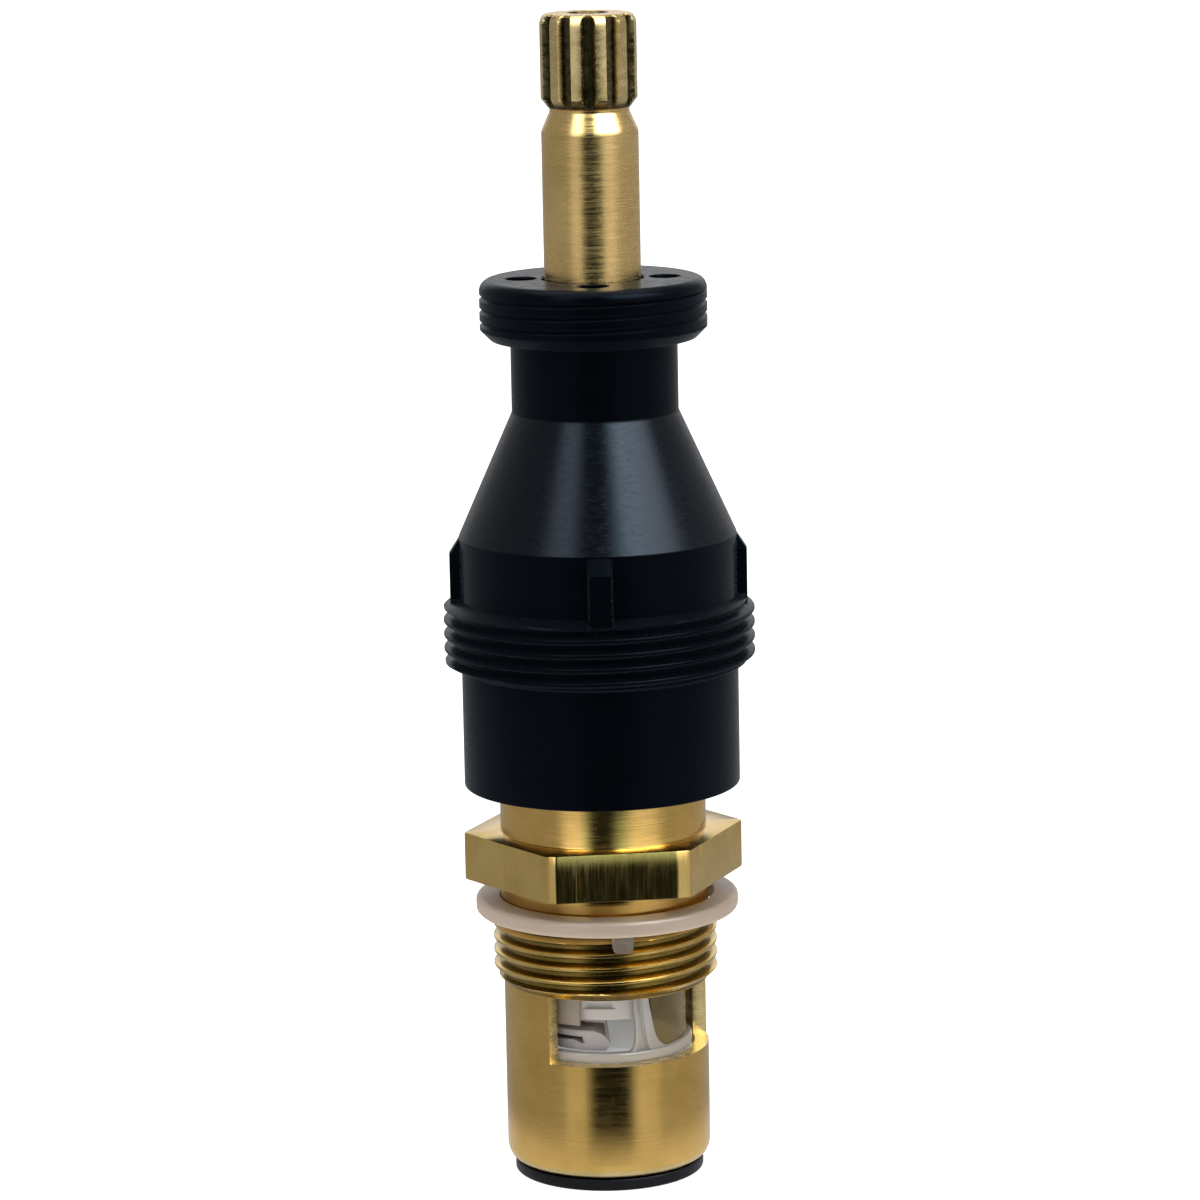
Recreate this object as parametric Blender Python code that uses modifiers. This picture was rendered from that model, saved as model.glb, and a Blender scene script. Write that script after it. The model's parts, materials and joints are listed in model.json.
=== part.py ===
"""Ceramic disc tap cartridge with a long splined spindle and a moulded extension sleeve.

The cartridge stands on its seat seal, with its axis on Z and the front of the photograph at -Y.
Angles round the axis are measured from the front, anticlockwise as seen from above.
Inside the brass body a tongue on the short spindle turns a plastic driver and a half-round
ceramic disc over a fixed disc with a half-moon port. The long spindle carries the turn up
through the black sleeve to the splined head.
"""

import math

import bmesh
import bpy
from mathutils import Matrix

MM = 0.001

# Fits and facets
FIT_GAP = 0.3 * MM
PIN_GAP = 0.15 * MM
JOIN_OVERLAP = 0.4 * MM
CUT_MARGIN = 1.0 * MM
TURN_STEPS = 36
SMALL_TURN_STEPS = 24
HOLE_STEPS = 12
SHORT_ARC_STEPS = 4
CORNER_STEPS = 3
RING_SECTION_STEPS = 6
SHARP_ANGLE = math.radians(32)

# Thread forms, as shares of a pitch
RIDGE_FLANK_SHARE = 0.27
RIDGE_LAND_SHARE = 0.36
GROOVE_MOUTH_SHARE = 0.45
GROOVE_FLOOR_SHARE = 0.15
GROOVE_START_SHARE = 0.6

# Seat seal and its support ring
SEAL_FLANGE_SETBACK = 0.77 * MM
SEAL_FLANGE_THICKNESS = 0.9 * MM
SEAL_PLUG_LENGTH = 7.2 * MM
SEAL_WALL = 1.5 * MM
SEAL_LIP_THICKNESS = 0.8 * MM
SEAL_EDGE = 0.25 * MM
SUPPORT_RING_WALL = 0.9 * MM

# Ceramic discs
FIXED_DISC_THICKNESS = 4.6 * MM
DISC_SEAT_HEIGHT = 1.1 * MM
DISC_SEAT_SETBACK = 0.15 * MM
MOVING_DISC_THICKNESS = 2.1 * MM
ROTOR_RADIUS = 7.6 * MM
PORT_SEAL_WIDTH = 2.0 * MM
PORT_FLAT_OFFSET = 0.9 * MM
DISC_FLAT_OFFSET = 0.5 * MM
DISC_NOTCH_DEPTH = 1.3 * MM
DISC_NOTCH_GAP = 0.4 * MM
OPEN_SIDE_ANGLE = math.radians(80)

# Driver
DRIVER_FOOT_THICKNESS = 0.95 * MM
DRIVER_PLATE_THICKNESS = 2.45 * MM
DRIVER_PLATE_OFFSET = 3.3 * MM
DRIVER_LEG_ANGLE = math.radians(55)
DRIVER_LEG_SPREAD = math.radians(9)
DRIVER_SIDE_STEP = 0.1 * MM
DRIVER_RECESS_WIDTH = 3.4 * MM
DRIVER_RECESS_HEIGHT = 0.8 * MM
DRIVER_RECESS_DEPTH = 1.6 * MM
DRIVER_RECESS_ANGLE = math.radians(-6)

# Flow cage
CAGE_WALL = 0.95 * MM
CAGE_RING_HEIGHT = 1.1 * MM
CAGE_STRUT_ANGLE = math.radians(29)
CAGE_STRUT_COUNT = 3
CAGE_STRUT_WIDTH = 1.5 * MM
CAGE_STRUT_THICKNESS = 0.75 * MM
CAGE_STRUT_LEAN = 0.7 * MM
CAGE_TAB_SPREAD = math.radians(9)
CAGE_TAB_LENGTH = 1.4 * MM

# Short spindle
TONGUE_SETBACK = 3.1 * MM
TONGUE_WIDTH = 3.0 * MM
TONGUE_DEPTH = 1.4 * MM
COLLAR_THICKNESS = 3.1 * MM
STOP_NOTCH_DEPTH = 1.7 * MM
SHANK_RADIUS = 4.6 * MM
RING_GROOVE_DEPTH = 1.8 * MM
LOWER_RING_RISE = 6.5 * MM
UPPER_RING_RISE = 13.0 * MM
CLIP_GROOVE_DEPTH = 1.0 * MM
TAPER_HEIGHT = 0.9 * MM
TAPER_STEP = 0.2 * MM
DRIVE_TEETH = 20
DRIVE_TOOTH_SHARE = 0.35
DRIVE_ROOT_SHARE = 0.35
DRIVE_SOCKET_CHANGE = 0.1
DRIVE_TIP_RADIUS = 3.5 * MM
DRIVE_TOOTH_DEPTH = 0.45 * MM
DRIVE_LENGTH = 8.5 * MM
TURN_RANGE = math.radians(180)

# Stop pin, as shares of the collar's width outside the shank, and thrust washer
STOP_PIN_SHARE = 0.267
STOP_PIN_PLACE = 0.6
STOP_PIN_ANGLE = math.radians(180)
STOP_PIN_SEAT = 2.8 * MM
THRUST_WASHER_THICKNESS = 0.8 * MM

# Circlip and its washer
CIRCLIP_THICKNESS = 1.0 * MM
CIRCLIP_OUTER_RADIUS = 6.0 * MM
CIRCLIP_MOUTH = math.radians(56)
CIRCLIP_WASHER_THICKNESS = 0.8 * MM
CIRCLIP_WASHER_RADIUS = 8.0 * MM

# Brass body
BARREL_WALL = 1.45 * MM
BARREL_LENGTH = 19.2 * MM
BARREL_EDGE = 0.45 * MM
WINDOW_START_ANGLE = math.radians(-34)
WINDOW_END_ANGLE = math.radians(101)
WINDOW_HEIGHT = 6.85 * MM
WINDOW_SILL_STEP = 0.45 * MM
BODY_THREAD_STEP = 1.0 * MM
BODY_THREAD_DEPTH = 0.9 * MM
BODY_THREAD_PITCH = 1.5 * MM
BODY_THREAD_LENGTH = 7.05 * MM
RELIEF_DEPTH = 0.8 * MM
RELIEF_LENGTH = 3.98 * MM
HEX_ACROSS_FLATS = 25.0 * MM
HEX_HEIGHT = 5.32 * MM
HEX_CORNER_ROUNDING = 0.7 * MM
HEX_FLAT_ANGLE = math.radians(7)
SPIGOT_RADIUS = 10.65 * MM
SPIGOT_LENGTH = 15.25 * MM
SPIGOT_EDGE = 0.6 * MM
GRIP_GROOVE_DEPTH = 2.1 * MM
GRIP_GROOVE_DROP = 6.0 * MM

# Sealing washer under the hexagon
SEALING_WASHER_STEP = 2.0 * MM
SEALING_WASHER_THICKNESS = 1.75 * MM
SEALING_WASHER_EDGE = 0.35 * MM
WASHER_TAB_ANGLE = math.radians(8)
WASHER_TAB_WIDTH = 2.3 * MM
WASHER_TAB_DROP = 1.75 * MM
WASHER_TAB_THICKNESS = 1.0 * MM

# Black sleeve
SLEEVE_STANDOFF = 4.45 * MM
SKIRT_RADIUS = 14.25 * MM
SKIRT_LENGTH = 12.3 * MM
SKIRT_EDGE = 0.25 * MM
BIG_THREAD_RADIUS = 16.0 * MM
BIG_THREAD_DEPTH = 0.9 * MM
BIG_THREAD_PITCH = 1.5 * MM
BIG_THREAD_LENGTH = 6.9 * MM
DRUM_LENGTH = 6.6 * MM
CONE_LENGTH = 13.0 * MM
NECK_RADIUS = 8.53 * MM
NECK_LENGTH = 7.3 * MM
FLANGE_RADIUS = 11.6 * MM
FLANGE_THICKNESS = 6.3 * MM
FLANGE_CHAMFER = 1.15 * MM
FLANGE_CHAMFER_WIDTH = 0.75 * MM
FLANGE_UNDERCUT = 1.0 * MM
FLANGE_THREAD_DEPTH = 0.35 * MM
FLANGE_THREAD_PITCH = 1.4 * MM
RIB_COUNT = 4
RIB_ANGLE = math.radians(0.6)
RIB_WIDTH = 2.6 * MM
RIB_OUTER_RADIUS = 15.28 * MM
RIB_HEIGHT = 6.0 * MM
RIB_CHAMFER = 1.1 * MM
SPANNER_HOLE_COUNT = 4
SPANNER_HOLE_RADIUS = 1.58 * MM
SPANNER_HOLE_CIRCLE = 7.3 * MM
SPANNER_HOLE_DEPTH = 4.5 * MM
CAVITY_RADIUS = 9.4 * MM
CONE_WALL = 2.6 * MM
NECK_BORE_RADIUS = 6.3 * MM
GUIDE_LENGTH = 9.0 * MM

# Long spindle
STEM_RADIUS = 4.93 * MM
STEM_PROJECTION = 26.8 * MM
HEAD_RADIUS = 4.95 * MM
HEAD_LENGTH = 9.6 * MM
HEAD_TOP_RADIUS = 3.95 * MM
HEAD_TOP_ROUNDING = 1.05 * MM
HEAD_UNDERCUT_RADIUS = 4.05 * MM
HEAD_CONE_LENGTH = 1.1 * MM
FLARE_LENGTH = 2.25 * MM
SPLINE_COUNT = 12
SPLINE_DEPTH = 0.8 * MM
SPLINE_GROOVE_WIDTH = 1.5 * MM
SPLINE_FLOOR_WIDTH = 0.8 * MM
HANDLE_HOLE_RADIUS = 1.65 * MM
HANDLE_HOLE_DEPTH = 12.0 * MM
HANDLE_HOLE_COUNTERSINK = 0.45 * MM

# Threaded stud between the two spindles
STUD_RADIUS = 2.0 * MM
STUD_SEAT = 6.0 * MM
STUD_EDGE = 0.5 * MM

# Heights, stacked from the seal's underside
BODY_BOTTOM = SEAL_FLANGE_THICKNESS + FIT_GAP
SEAL_TOP = SEAL_FLANGE_THICKNESS + SEAL_PLUG_LENGTH
FIXED_DISC_BOTTOM = SEAL_TOP + FIT_GAP
FIXED_DISC_TOP = FIXED_DISC_BOTTOM + FIXED_DISC_THICKNESS
DISC_SEAT_TOP = FIXED_DISC_TOP + DISC_SEAT_HEIGHT
MOVING_DISC_BOTTOM = DISC_SEAT_TOP + FIT_GAP
MOVING_DISC_TOP = MOVING_DISC_BOTTOM + MOVING_DISC_THICKNESS
DRIVER_BOTTOM = MOVING_DISC_TOP + FIT_GAP
DRIVER_PLATE_BOTTOM = DRIVER_BOTTOM + DRIVER_FOOT_THICKNESS
DRIVER_TOP = DRIVER_PLATE_BOTTOM + DRIVER_PLATE_THICKNESS
COLLAR_BOTTOM = DRIVER_TOP + FIT_GAP
COLLAR_TOP = COLLAR_BOTTOM + COLLAR_THICKNESS
THRUST_WASHER_BOTTOM = COLLAR_TOP + FIT_GAP
THRUST_WASHER_TOP = THRUST_WASHER_BOTTOM + THRUST_WASHER_THICKNESS
SHOULDER = THRUST_WASHER_TOP + FIT_GAP
WINDOW_SILL = FIXED_DISC_TOP + WINDOW_SILL_STEP
WINDOW_TOP = WINDOW_SILL + WINDOW_HEIGHT
THREAD_BOTTOM = BODY_BOTTOM + BARREL_LENGTH
THREAD_TOP = THREAD_BOTTOM + BODY_THREAD_LENGTH
HEX_BOTTOM = THREAD_TOP + RELIEF_LENGTH
HEX_TOP = HEX_BOTTOM + HEX_HEIGHT
BODY_TOP = HEX_TOP + SPIGOT_LENGTH
SLEEVE_BOTTOM = HEX_TOP + SLEEVE_STANDOFF
BIG_THREAD_BOTTOM = SLEEVE_BOTTOM + SKIRT_LENGTH
BIG_THREAD_TOP = BIG_THREAD_BOTTOM + BIG_THREAD_LENGTH
CONE_BOTTOM = BIG_THREAD_TOP + DRUM_LENGTH
CONE_TOP = CONE_BOTTOM + CONE_LENGTH
FLANGE_BOTTOM = CONE_TOP + NECK_LENGTH
SLEEVE_TOP = FLANGE_BOTTOM + FLANGE_THICKNESS
CIRCLIP_WASHER_BOTTOM = BODY_TOP + FIT_GAP
CIRCLIP_WASHER_TOP = CIRCLIP_WASHER_BOTTOM + CIRCLIP_WASHER_THICKNESS
CIRCLIP_BOTTOM = CIRCLIP_WASHER_TOP + FIT_GAP
CIRCLIP_TOP = CIRCLIP_BOTTOM + CIRCLIP_THICKNESS
SHANK_TOP = CIRCLIP_TOP + FIT_GAP + TAPER_HEIGHT
DRIVE_TOP = SHANK_TOP + DRIVE_LENGTH
STEM_BOTTOM = SHANK_TOP + FIT_GAP
SOCKET_ROOF = DRIVE_TOP + FIT_GAP
STEM_TOP = SLEEVE_TOP + STEM_PROJECTION

# Radii that follow from the fits, from the turning pieces outwards
PORT_RADIUS = ROTOR_RADIUS - PORT_SEAL_WIDTH
COLLAR_WIDTH = ROTOR_RADIUS - SHANK_RADIUS
STOP_PIN_RADIUS = COLLAR_WIDTH * STOP_PIN_SHARE
STOP_PIN_CIRCLE = SHANK_RADIUS + COLLAR_WIDTH * STOP_PIN_PLACE
COLLAR_HUB_RADIUS = STOP_PIN_CIRCLE - STOP_PIN_RADIUS - FIT_GAP
BARREL_BORE_RADIUS = ROTOR_RADIUS + CAGE_WALL + 2 * FIT_GAP
BARREL_RADIUS = BARREL_BORE_RADIUS + BARREL_WALL
BODY_THREAD_RADIUS = BARREL_RADIUS + BODY_THREAD_STEP
RELIEF_RADIUS = BODY_THREAD_RADIUS - RELIEF_DEPTH
SEALING_WASHER_RADIUS = BODY_THREAD_RADIUS + SEALING_WASHER_STEP
SEAL_FLANGE_RADIUS = BARREL_RADIUS - SEAL_FLANGE_SETBACK
SEAL_PLUG_RADIUS = BARREL_BORE_RADIUS - FIT_GAP
SUPPORT_RING_RADIUS = SEAL_PLUG_RADIUS - SEAL_WALL - FIT_GAP
INLET_RADIUS = SUPPORT_RING_RADIUS - SUPPORT_RING_WALL
CAGE_RADIUS = BARREL_BORE_RADIUS - FIT_GAP
SPINDLE_BORE_RADIUS = SHANK_RADIUS + FIT_GAP
RING_GROOVE_RADIUS = SHANK_RADIUS - RING_GROOVE_DEPTH
SPINDLE_RING_SECTION = SPINDLE_BORE_RADIUS - RING_GROOVE_RADIUS - 2 * FIT_GAP
RING_GROOVE_WIDTH = SPINDLE_RING_SECTION + 2 * FIT_GAP
CLIP_GROOVE_RADIUS = SHANK_RADIUS - CLIP_GROOVE_DEPTH
SLEEVE_BORE_RADIUS = SPIGOT_RADIUS + FIT_GAP
GRIP_GROOVE_RADIUS = SPIGOT_RADIUS - GRIP_GROOVE_DEPTH
GRIP_RING_SECTION = SLEEVE_BORE_RADIUS - GRIP_GROOVE_RADIUS - 2 * FIT_GAP
GRIP_GROOVE_WIDTH = GRIP_RING_SECTION + 2 * FIT_GAP
GRIP_GROOVE_TOP = BODY_TOP - GRIP_GROOVE_DROP
GUIDE_BORE_RADIUS = STEM_RADIUS + FIT_GAP


def at_angle(angle, radius):
    """Point at a radius, at an angle from the front."""
    return radius * math.sin(angle), -radius * math.cos(angle)


def turned_to(angle):
    """Rotation that carries the +X direction to an angle from the front."""
    return Matrix.Rotation(angle - math.radians(90), 4, 'Z')


def clear_scene():
    """Remove what the file holds before the model is made."""
    for existing in list(bpy.data.objects):
        bpy.data.objects.remove(existing)


def new_collection(name):
    """Collection linked to the scene."""
    collection = bpy.data.collections.new(name)
    bpy.context.scene.collection.children.link(collection)
    return collection


def principled(name, colour, roughness, metallic, transmission=0.0):
    """Material with the part's own colour, roughness and metallic value."""
    material = bpy.data.materials.new(name)
    material.use_nodes = True
    shader = material.node_tree.nodes["Principled BSDF"]
    shader.inputs["Base Color"].default_value = (*colour, 1.0)
    shader.inputs["Roughness"].default_value = roughness
    shader.inputs["Metallic"].default_value = metallic
    shader.inputs["Transmission Weight"].default_value = transmission
    material.diffuse_color = (*colour, 1.0)
    return material


def evaluated_mesh(source, name):
    """Mesh of an object as its modifiers leave it, with coincident points welded."""
    graph = bpy.context.evaluated_depsgraph_get()
    mesh = bpy.data.meshes.new_from_object(source.evaluated_get(graph))
    mesh.name = name
    weld = bmesh.new()
    weld.from_mesh(mesh)
    bmesh.ops.remove_doubles(weld, verts=weld.verts, dist=0.001 * MM)
    bmesh.ops.recalc_face_normals(weld, faces=weld.faces)
    weld.to_mesh(mesh)
    weld.free()
    return mesh


def replace_by_mesh(source, name):
    """Mesh object in the place of a curve or of an object with modifiers."""
    mesh = evaluated_mesh(source, name)
    result = bpy.data.objects.new(name, mesh)
    result.matrix_world = source.matrix_world
    bpy.context.scene.collection.objects.link(result)
    bpy.data.objects.remove(source)
    return result


def turned(name, profile, closed, steps=TURN_STEPS):
    """Turned solid. The profile runs down its outer side, as (radius, height) pairs."""
    count = len(profile)
    edges = [(index, index + 1) for index in range(count - 1)]
    if closed:
        edges.append((count - 1, 0))
    line = bpy.data.meshes.new(name + "_profile")
    line.from_pydata([(radius, 0.0, height) for radius, height in profile], edges, [])
    blank = bpy.data.objects.new(name + "_profile", line)
    bpy.context.scene.collection.objects.link(blank)
    screw = blank.modifiers.new("turn", 'SCREW')
    screw.axis = 'Z'
    screw.angle = 2 * math.pi
    screw.steps = steps
    screw.render_steps = steps
    screw.use_merge_vertices = True
    screw.merge_threshold = 0.001 * MM
    return replace_by_mesh(blank, name)


def flat_solid(name, outlines, bottom, top, turn=None):
    """Flat solid between two heights. An outline inside another is a hole in it."""
    curve = bpy.data.curves.new(name + "_outline", 'CURVE')
    curve.dimensions = '2D'
    curve.fill_mode = 'BOTH'
    curve.extrude = (top - bottom) / 2
    for outline in outlines:
        spline = curve.splines.new('POLY')
        spline.points.add(len(outline) - 1)
        for point, (x, y) in zip(spline.points, outline):
            point.co = (x, y, 0.0, 1.0)
        spline.use_cyclic_u = True
    blank = bpy.data.objects.new(name + "_outline", curve)
    bpy.context.scene.collection.objects.link(blank)
    blank.matrix_world = (turn or Matrix()) @ Matrix.Translation((0, 0, (bottom + top) / 2))
    bpy.context.view_layer.update()
    return replace_by_mesh(blank, name)


def circle(radius, steps, centre=(0.0, 0.0)):
    """Outline of a circle."""
    turn = 2 * math.pi / steps
    return [(centre[0] + radius * math.cos(turn * step), centre[1] + radius * math.sin(turn * step))
            for step in range(steps)]


def arc(radius, start, end, steps):
    """Points along an arc between two angles from the +X direction."""
    return [(radius * math.cos(start + (end - start) * step / steps),
             radius * math.sin(start + (end - start) * step / steps)) for step in range(steps + 1)]


def sector(inner, outer, start, end, steps):
    """Outline of a ring sector between two angles from the front."""
    quarter = math.radians(90)
    outside = arc(outer, start - quarter, end - quarter, steps)
    inside = arc(inner, end - quarter, start - quarter, steps)
    return outside + inside


def rectangle(low_x, high_x, low_y, high_y):
    """Outline of a rectangle."""
    return [(low_x, low_y), (high_x, low_y), (high_x, high_y), (low_x, high_y)]


def cut_circle(radius, offset, steps):
    """Outline of the part of a disc that lies on the -X side of a flat at an offset."""
    reach = math.acos(offset / radius)
    return arc(radius, reach, 2 * math.pi - reach, steps)


def hexagon(across_flats, rounding, steps):
    """Outline of a hexagon with rounded corners and a flat facing +X."""
    corner_circle = (across_flats / 2 - rounding) / math.cos(math.radians(30))
    points = []
    for corner in range(6):
        middle = math.radians(30 + 60 * corner)
        centre = (corner_circle * math.cos(middle), corner_circle * math.sin(middle))
        for x, y in arc(rounding, middle - math.radians(30), middle + math.radians(30), steps):
            points.append((centre[0] + x, centre[1] + y))
    return points


def toothed(count, root, tip, tip_share, root_share):
    """Outline with straight teeth, whose tips and roots take a share of each pitch."""
    pitch = 2 * math.pi / count
    points = []
    for tooth in range(count):
        middle = pitch * tooth
        foot = pitch * (1 - root_share) / 2
        land = pitch * tip_share / 2
        points.append((root, middle - foot))
        points.append((tip, middle - land))
        points.append((tip, middle + land))
        points.append((root, middle + foot))
    return [(radius * math.cos(angle), radius * math.sin(angle)) for radius, angle in points]


def thread_ridges(crest, depth, pitch, top, bottom):
    """Profile of ring ridges that stand for a thread, from its top down to its bottom."""
    root = crest - depth
    flank = pitch * RIDGE_FLANK_SHARE
    land = pitch * RIDGE_LAND_SHARE
    points = []
    for ridge in range(int((top - bottom) / pitch)):
        upper = top - pitch * ridge
        points += [(root, upper), (crest, upper - flank), (crest, upper - flank - land),
                   (root, upper - 2 * flank - land)]
    return points


def thread_grooves(crest, depth, pitch, top, bottom):
    """Profile of narrow ring grooves that stand for a shallow thread, from its top down."""
    root = crest - depth
    mouth = pitch * GROOVE_MOUTH_SHARE / 2
    floor = pitch * GROOVE_FLOOR_SHARE / 2
    points = []
    for groove in range(int((top - bottom) / pitch)):
        middle = top - pitch * (groove + GROOVE_START_SHARE)
        points += [(crest, middle + mouth), (root, middle + floor),
                   (root, middle - floor), (crest, middle - mouth)]
    return points


def ring_section(radius, section, height):
    """Profile of a round-section ring, running down its outer side."""
    turn = 2 * math.pi / RING_SECTION_STEPS
    return [(radius + section / 2 * math.sin(turn * (step + 0.5)),
             height + section / 2 * math.cos(turn * (step + 0.5))) for step in range(RING_SECTION_STEPS)]


def combine(target, tool, operation):
    """Join a tool to a target or cut it out, and remove the tool."""
    boolean = target.modifiers.new(operation.lower(), 'BOOLEAN')
    boolean.operation = operation
    boolean.solver = 'EXACT'
    boolean.object = tool
    tool.hide_render = True
    tool.display_type = 'WIRE'
    bpy.context.view_layer.update()
    mesh = evaluated_mesh(target, target.name)
    target.modifiers.clear()
    target.data = mesh
    bpy.data.objects.remove(tool)


def cut(target, tool):
    """Take a tool's shape out of a target."""
    combine(target, tool, 'DIFFERENCE')


def join(target, tool):
    """Unite a tool's shape with a target."""
    combine(target, tool, 'UNION')


def make_seat_seal():
    """Rubber ring below the barrel, with a plug inside the bore and a lip under the support ring."""
    inside = SUPPORT_RING_RADIUS + FIT_GAP
    profile = [
        (inside, SEAL_TOP),
        (SEAL_PLUG_RADIUS, SEAL_TOP),
        (SEAL_PLUG_RADIUS, SEAL_FLANGE_THICKNESS),
        (SEAL_FLANGE_RADIUS - SEAL_EDGE, SEAL_FLANGE_THICKNESS),
        (SEAL_FLANGE_RADIUS, SEAL_FLANGE_THICKNESS - SEAL_EDGE),
        (SEAL_FLANGE_RADIUS, SEAL_EDGE),
        (SEAL_FLANGE_RADIUS - SEAL_EDGE, 0.0),
        (INLET_RADIUS, 0.0),
        (INLET_RADIUS, SEAL_LIP_THICKNESS),
        (inside, SEAL_LIP_THICKNESS),
    ]
    return turned("seat_seal", profile, True)


def make_seal_support_ring():
    """Hard ring that keeps the rubber seal from folding into the inlet."""
    bottom = SEAL_LIP_THICKNESS + FIT_GAP
    profile = [
        (SUPPORT_RING_RADIUS, SEAL_TOP),
        (SUPPORT_RING_RADIUS, bottom),
        (INLET_RADIUS, bottom),
        (INLET_RADIUS, SEAL_TOP),
    ]
    return turned("seal_support_ring", profile, True)


def make_fixed_disc():
    """Ceramic disc with a raised seat, a half-moon inlet port and rim notches for the cage's tabs."""
    disc = flat_solid("fixed_disc", [circle(SEAL_PLUG_RADIUS, TURN_STEPS)],
                      FIXED_DISC_BOTTOM, FIXED_DISC_TOP)
    seat = flat_solid("disc_seat", [circle(ROTOR_RADIUS - DISC_SEAT_SETBACK, TURN_STEPS)],
                      FIXED_DISC_TOP - JOIN_OVERLAP, DISC_SEAT_TOP)
    join(disc, seat)
    port = flat_solid("port_cutter", [cut_circle(PORT_RADIUS, -PORT_FLAT_OFFSET, SMALL_TURN_STEPS)],
                      FIXED_DISC_BOTTOM - CUT_MARGIN, DISC_SEAT_TOP + CUT_MARGIN,
                      turned_to(OPEN_SIDE_ANGLE))
    cut(disc, port)
    notch_inner = CAGE_RADIUS - CAGE_WALL - FIT_GAP
    for angle in cage_tab_angles():
        clearance = FIT_GAP / CAGE_RADIUS
        outline = sector(notch_inner, CAGE_RADIUS + CUT_MARGIN, angle - CAGE_TAB_SPREAD - clearance,
                         angle + CAGE_TAB_SPREAD + clearance, SHORT_ARC_STEPS)
        notch = flat_solid("notch_cutter", [outline],
                           FIXED_DISC_TOP - CAGE_TAB_LENGTH - FIT_GAP, FIXED_DISC_TOP + CUT_MARGIN)
        cut(disc, notch)
    return disc


def make_moving_disc():
    """Half-round ceramic disc that covers the port at rest, notched for the driver's legs."""
    disc = flat_solid("moving_disc", [cut_circle(ROTOR_RADIUS, DISC_FLAT_OFFSET, TURN_STEPS)],
                      MOVING_DISC_BOTTOM, MOVING_DISC_TOP, turned_to(OPEN_SIDE_ANGLE))
    half_notch = DRIVER_LEG_SPREAD + DISC_NOTCH_GAP / ROTOR_RADIUS
    for angle in driver_leg_angles():
        outline = sector(ROTOR_RADIUS - DISC_NOTCH_DEPTH - FIT_GAP, ROTOR_RADIUS + CUT_MARGIN,
                         angle - half_notch, angle + half_notch, SHORT_ARC_STEPS)
        notch = flat_solid("notch_cutter", [outline], MOVING_DISC_BOTTOM - CUT_MARGIN,
                           MOVING_DISC_TOP + CUT_MARGIN)
        cut(disc, notch)
    return disc


def driver_leg_angles():
    """Angles of the driver's two legs, either side of the closed half's middle."""
    middle = OPEN_SIDE_ANGLE + math.pi
    return middle - DRIVER_LEG_ANGLE, middle + DRIVER_LEG_ANGLE


def cage_tab_angles():
    """Angles of the cage's two tabs, a quarter turn either side of its first strut."""
    return CAGE_STRUT_ANGLE - math.pi / 2, CAGE_STRUT_ANGLE + math.pi / 2


def make_driver():
    """Plastic carrier: a plate with the tongue's slot, a half-round foot and two legs."""
    side = turned_to(OPEN_SIDE_ANGLE)
    driver = flat_solid("driver", [cut_circle(ROTOR_RADIUS, DRIVER_PLATE_OFFSET, TURN_STEPS)],
                        DRIVER_PLATE_BOTTOM, DRIVER_TOP, side)
    foot_radius = ROTOR_RADIUS - DRIVER_SIDE_STEP
    foot = flat_solid("driver_foot", [cut_circle(foot_radius, DISC_FLAT_OFFSET, TURN_STEPS)],
                      DRIVER_BOTTOM, DRIVER_PLATE_BOTTOM + JOIN_OVERLAP, side)
    join(driver, foot)
    for angle in driver_leg_angles():
        outline = sector(ROTOR_RADIUS - DISC_NOTCH_DEPTH, foot_radius - DRIVER_SIDE_STEP,
                         angle - DRIVER_LEG_SPREAD, angle + DRIVER_LEG_SPREAD, SHORT_ARC_STEPS)
        leg = flat_solid("driver_leg", [outline], MOVING_DISC_BOTTOM + FIT_GAP,
                         DRIVER_BOTTOM + JOIN_OVERLAP)
        join(driver, leg)
    slot_reach = ROTOR_RADIUS - TONGUE_SETBACK + FIT_GAP
    slot = rectangle(-TONGUE_WIDTH / 2 - FIT_GAP, TONGUE_WIDTH / 2 + FIT_GAP,
                     -slot_reach, slot_reach)
    cut(driver, flat_solid("slot_cutter", [slot], COLLAR_BOTTOM - TONGUE_DEPTH - FIT_GAP,
                           DRIVER_TOP + CUT_MARGIN, side))
    recess_middle = (DRIVER_PLATE_BOTTOM + DRIVER_TOP) / 2
    recess = rectangle(ROTOR_RADIUS - DRIVER_RECESS_DEPTH, ROTOR_RADIUS + CUT_MARGIN,
                       -DRIVER_RECESS_WIDTH / 2, DRIVER_RECESS_WIDTH / 2)
    cut(driver, flat_solid("recess_cutter", [recess], recess_middle - DRIVER_RECESS_HEIGHT / 2,
                           recess_middle + DRIVER_RECESS_HEIGHT / 2, turned_to(DRIVER_RECESS_ANGLE)))
    return driver


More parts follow.
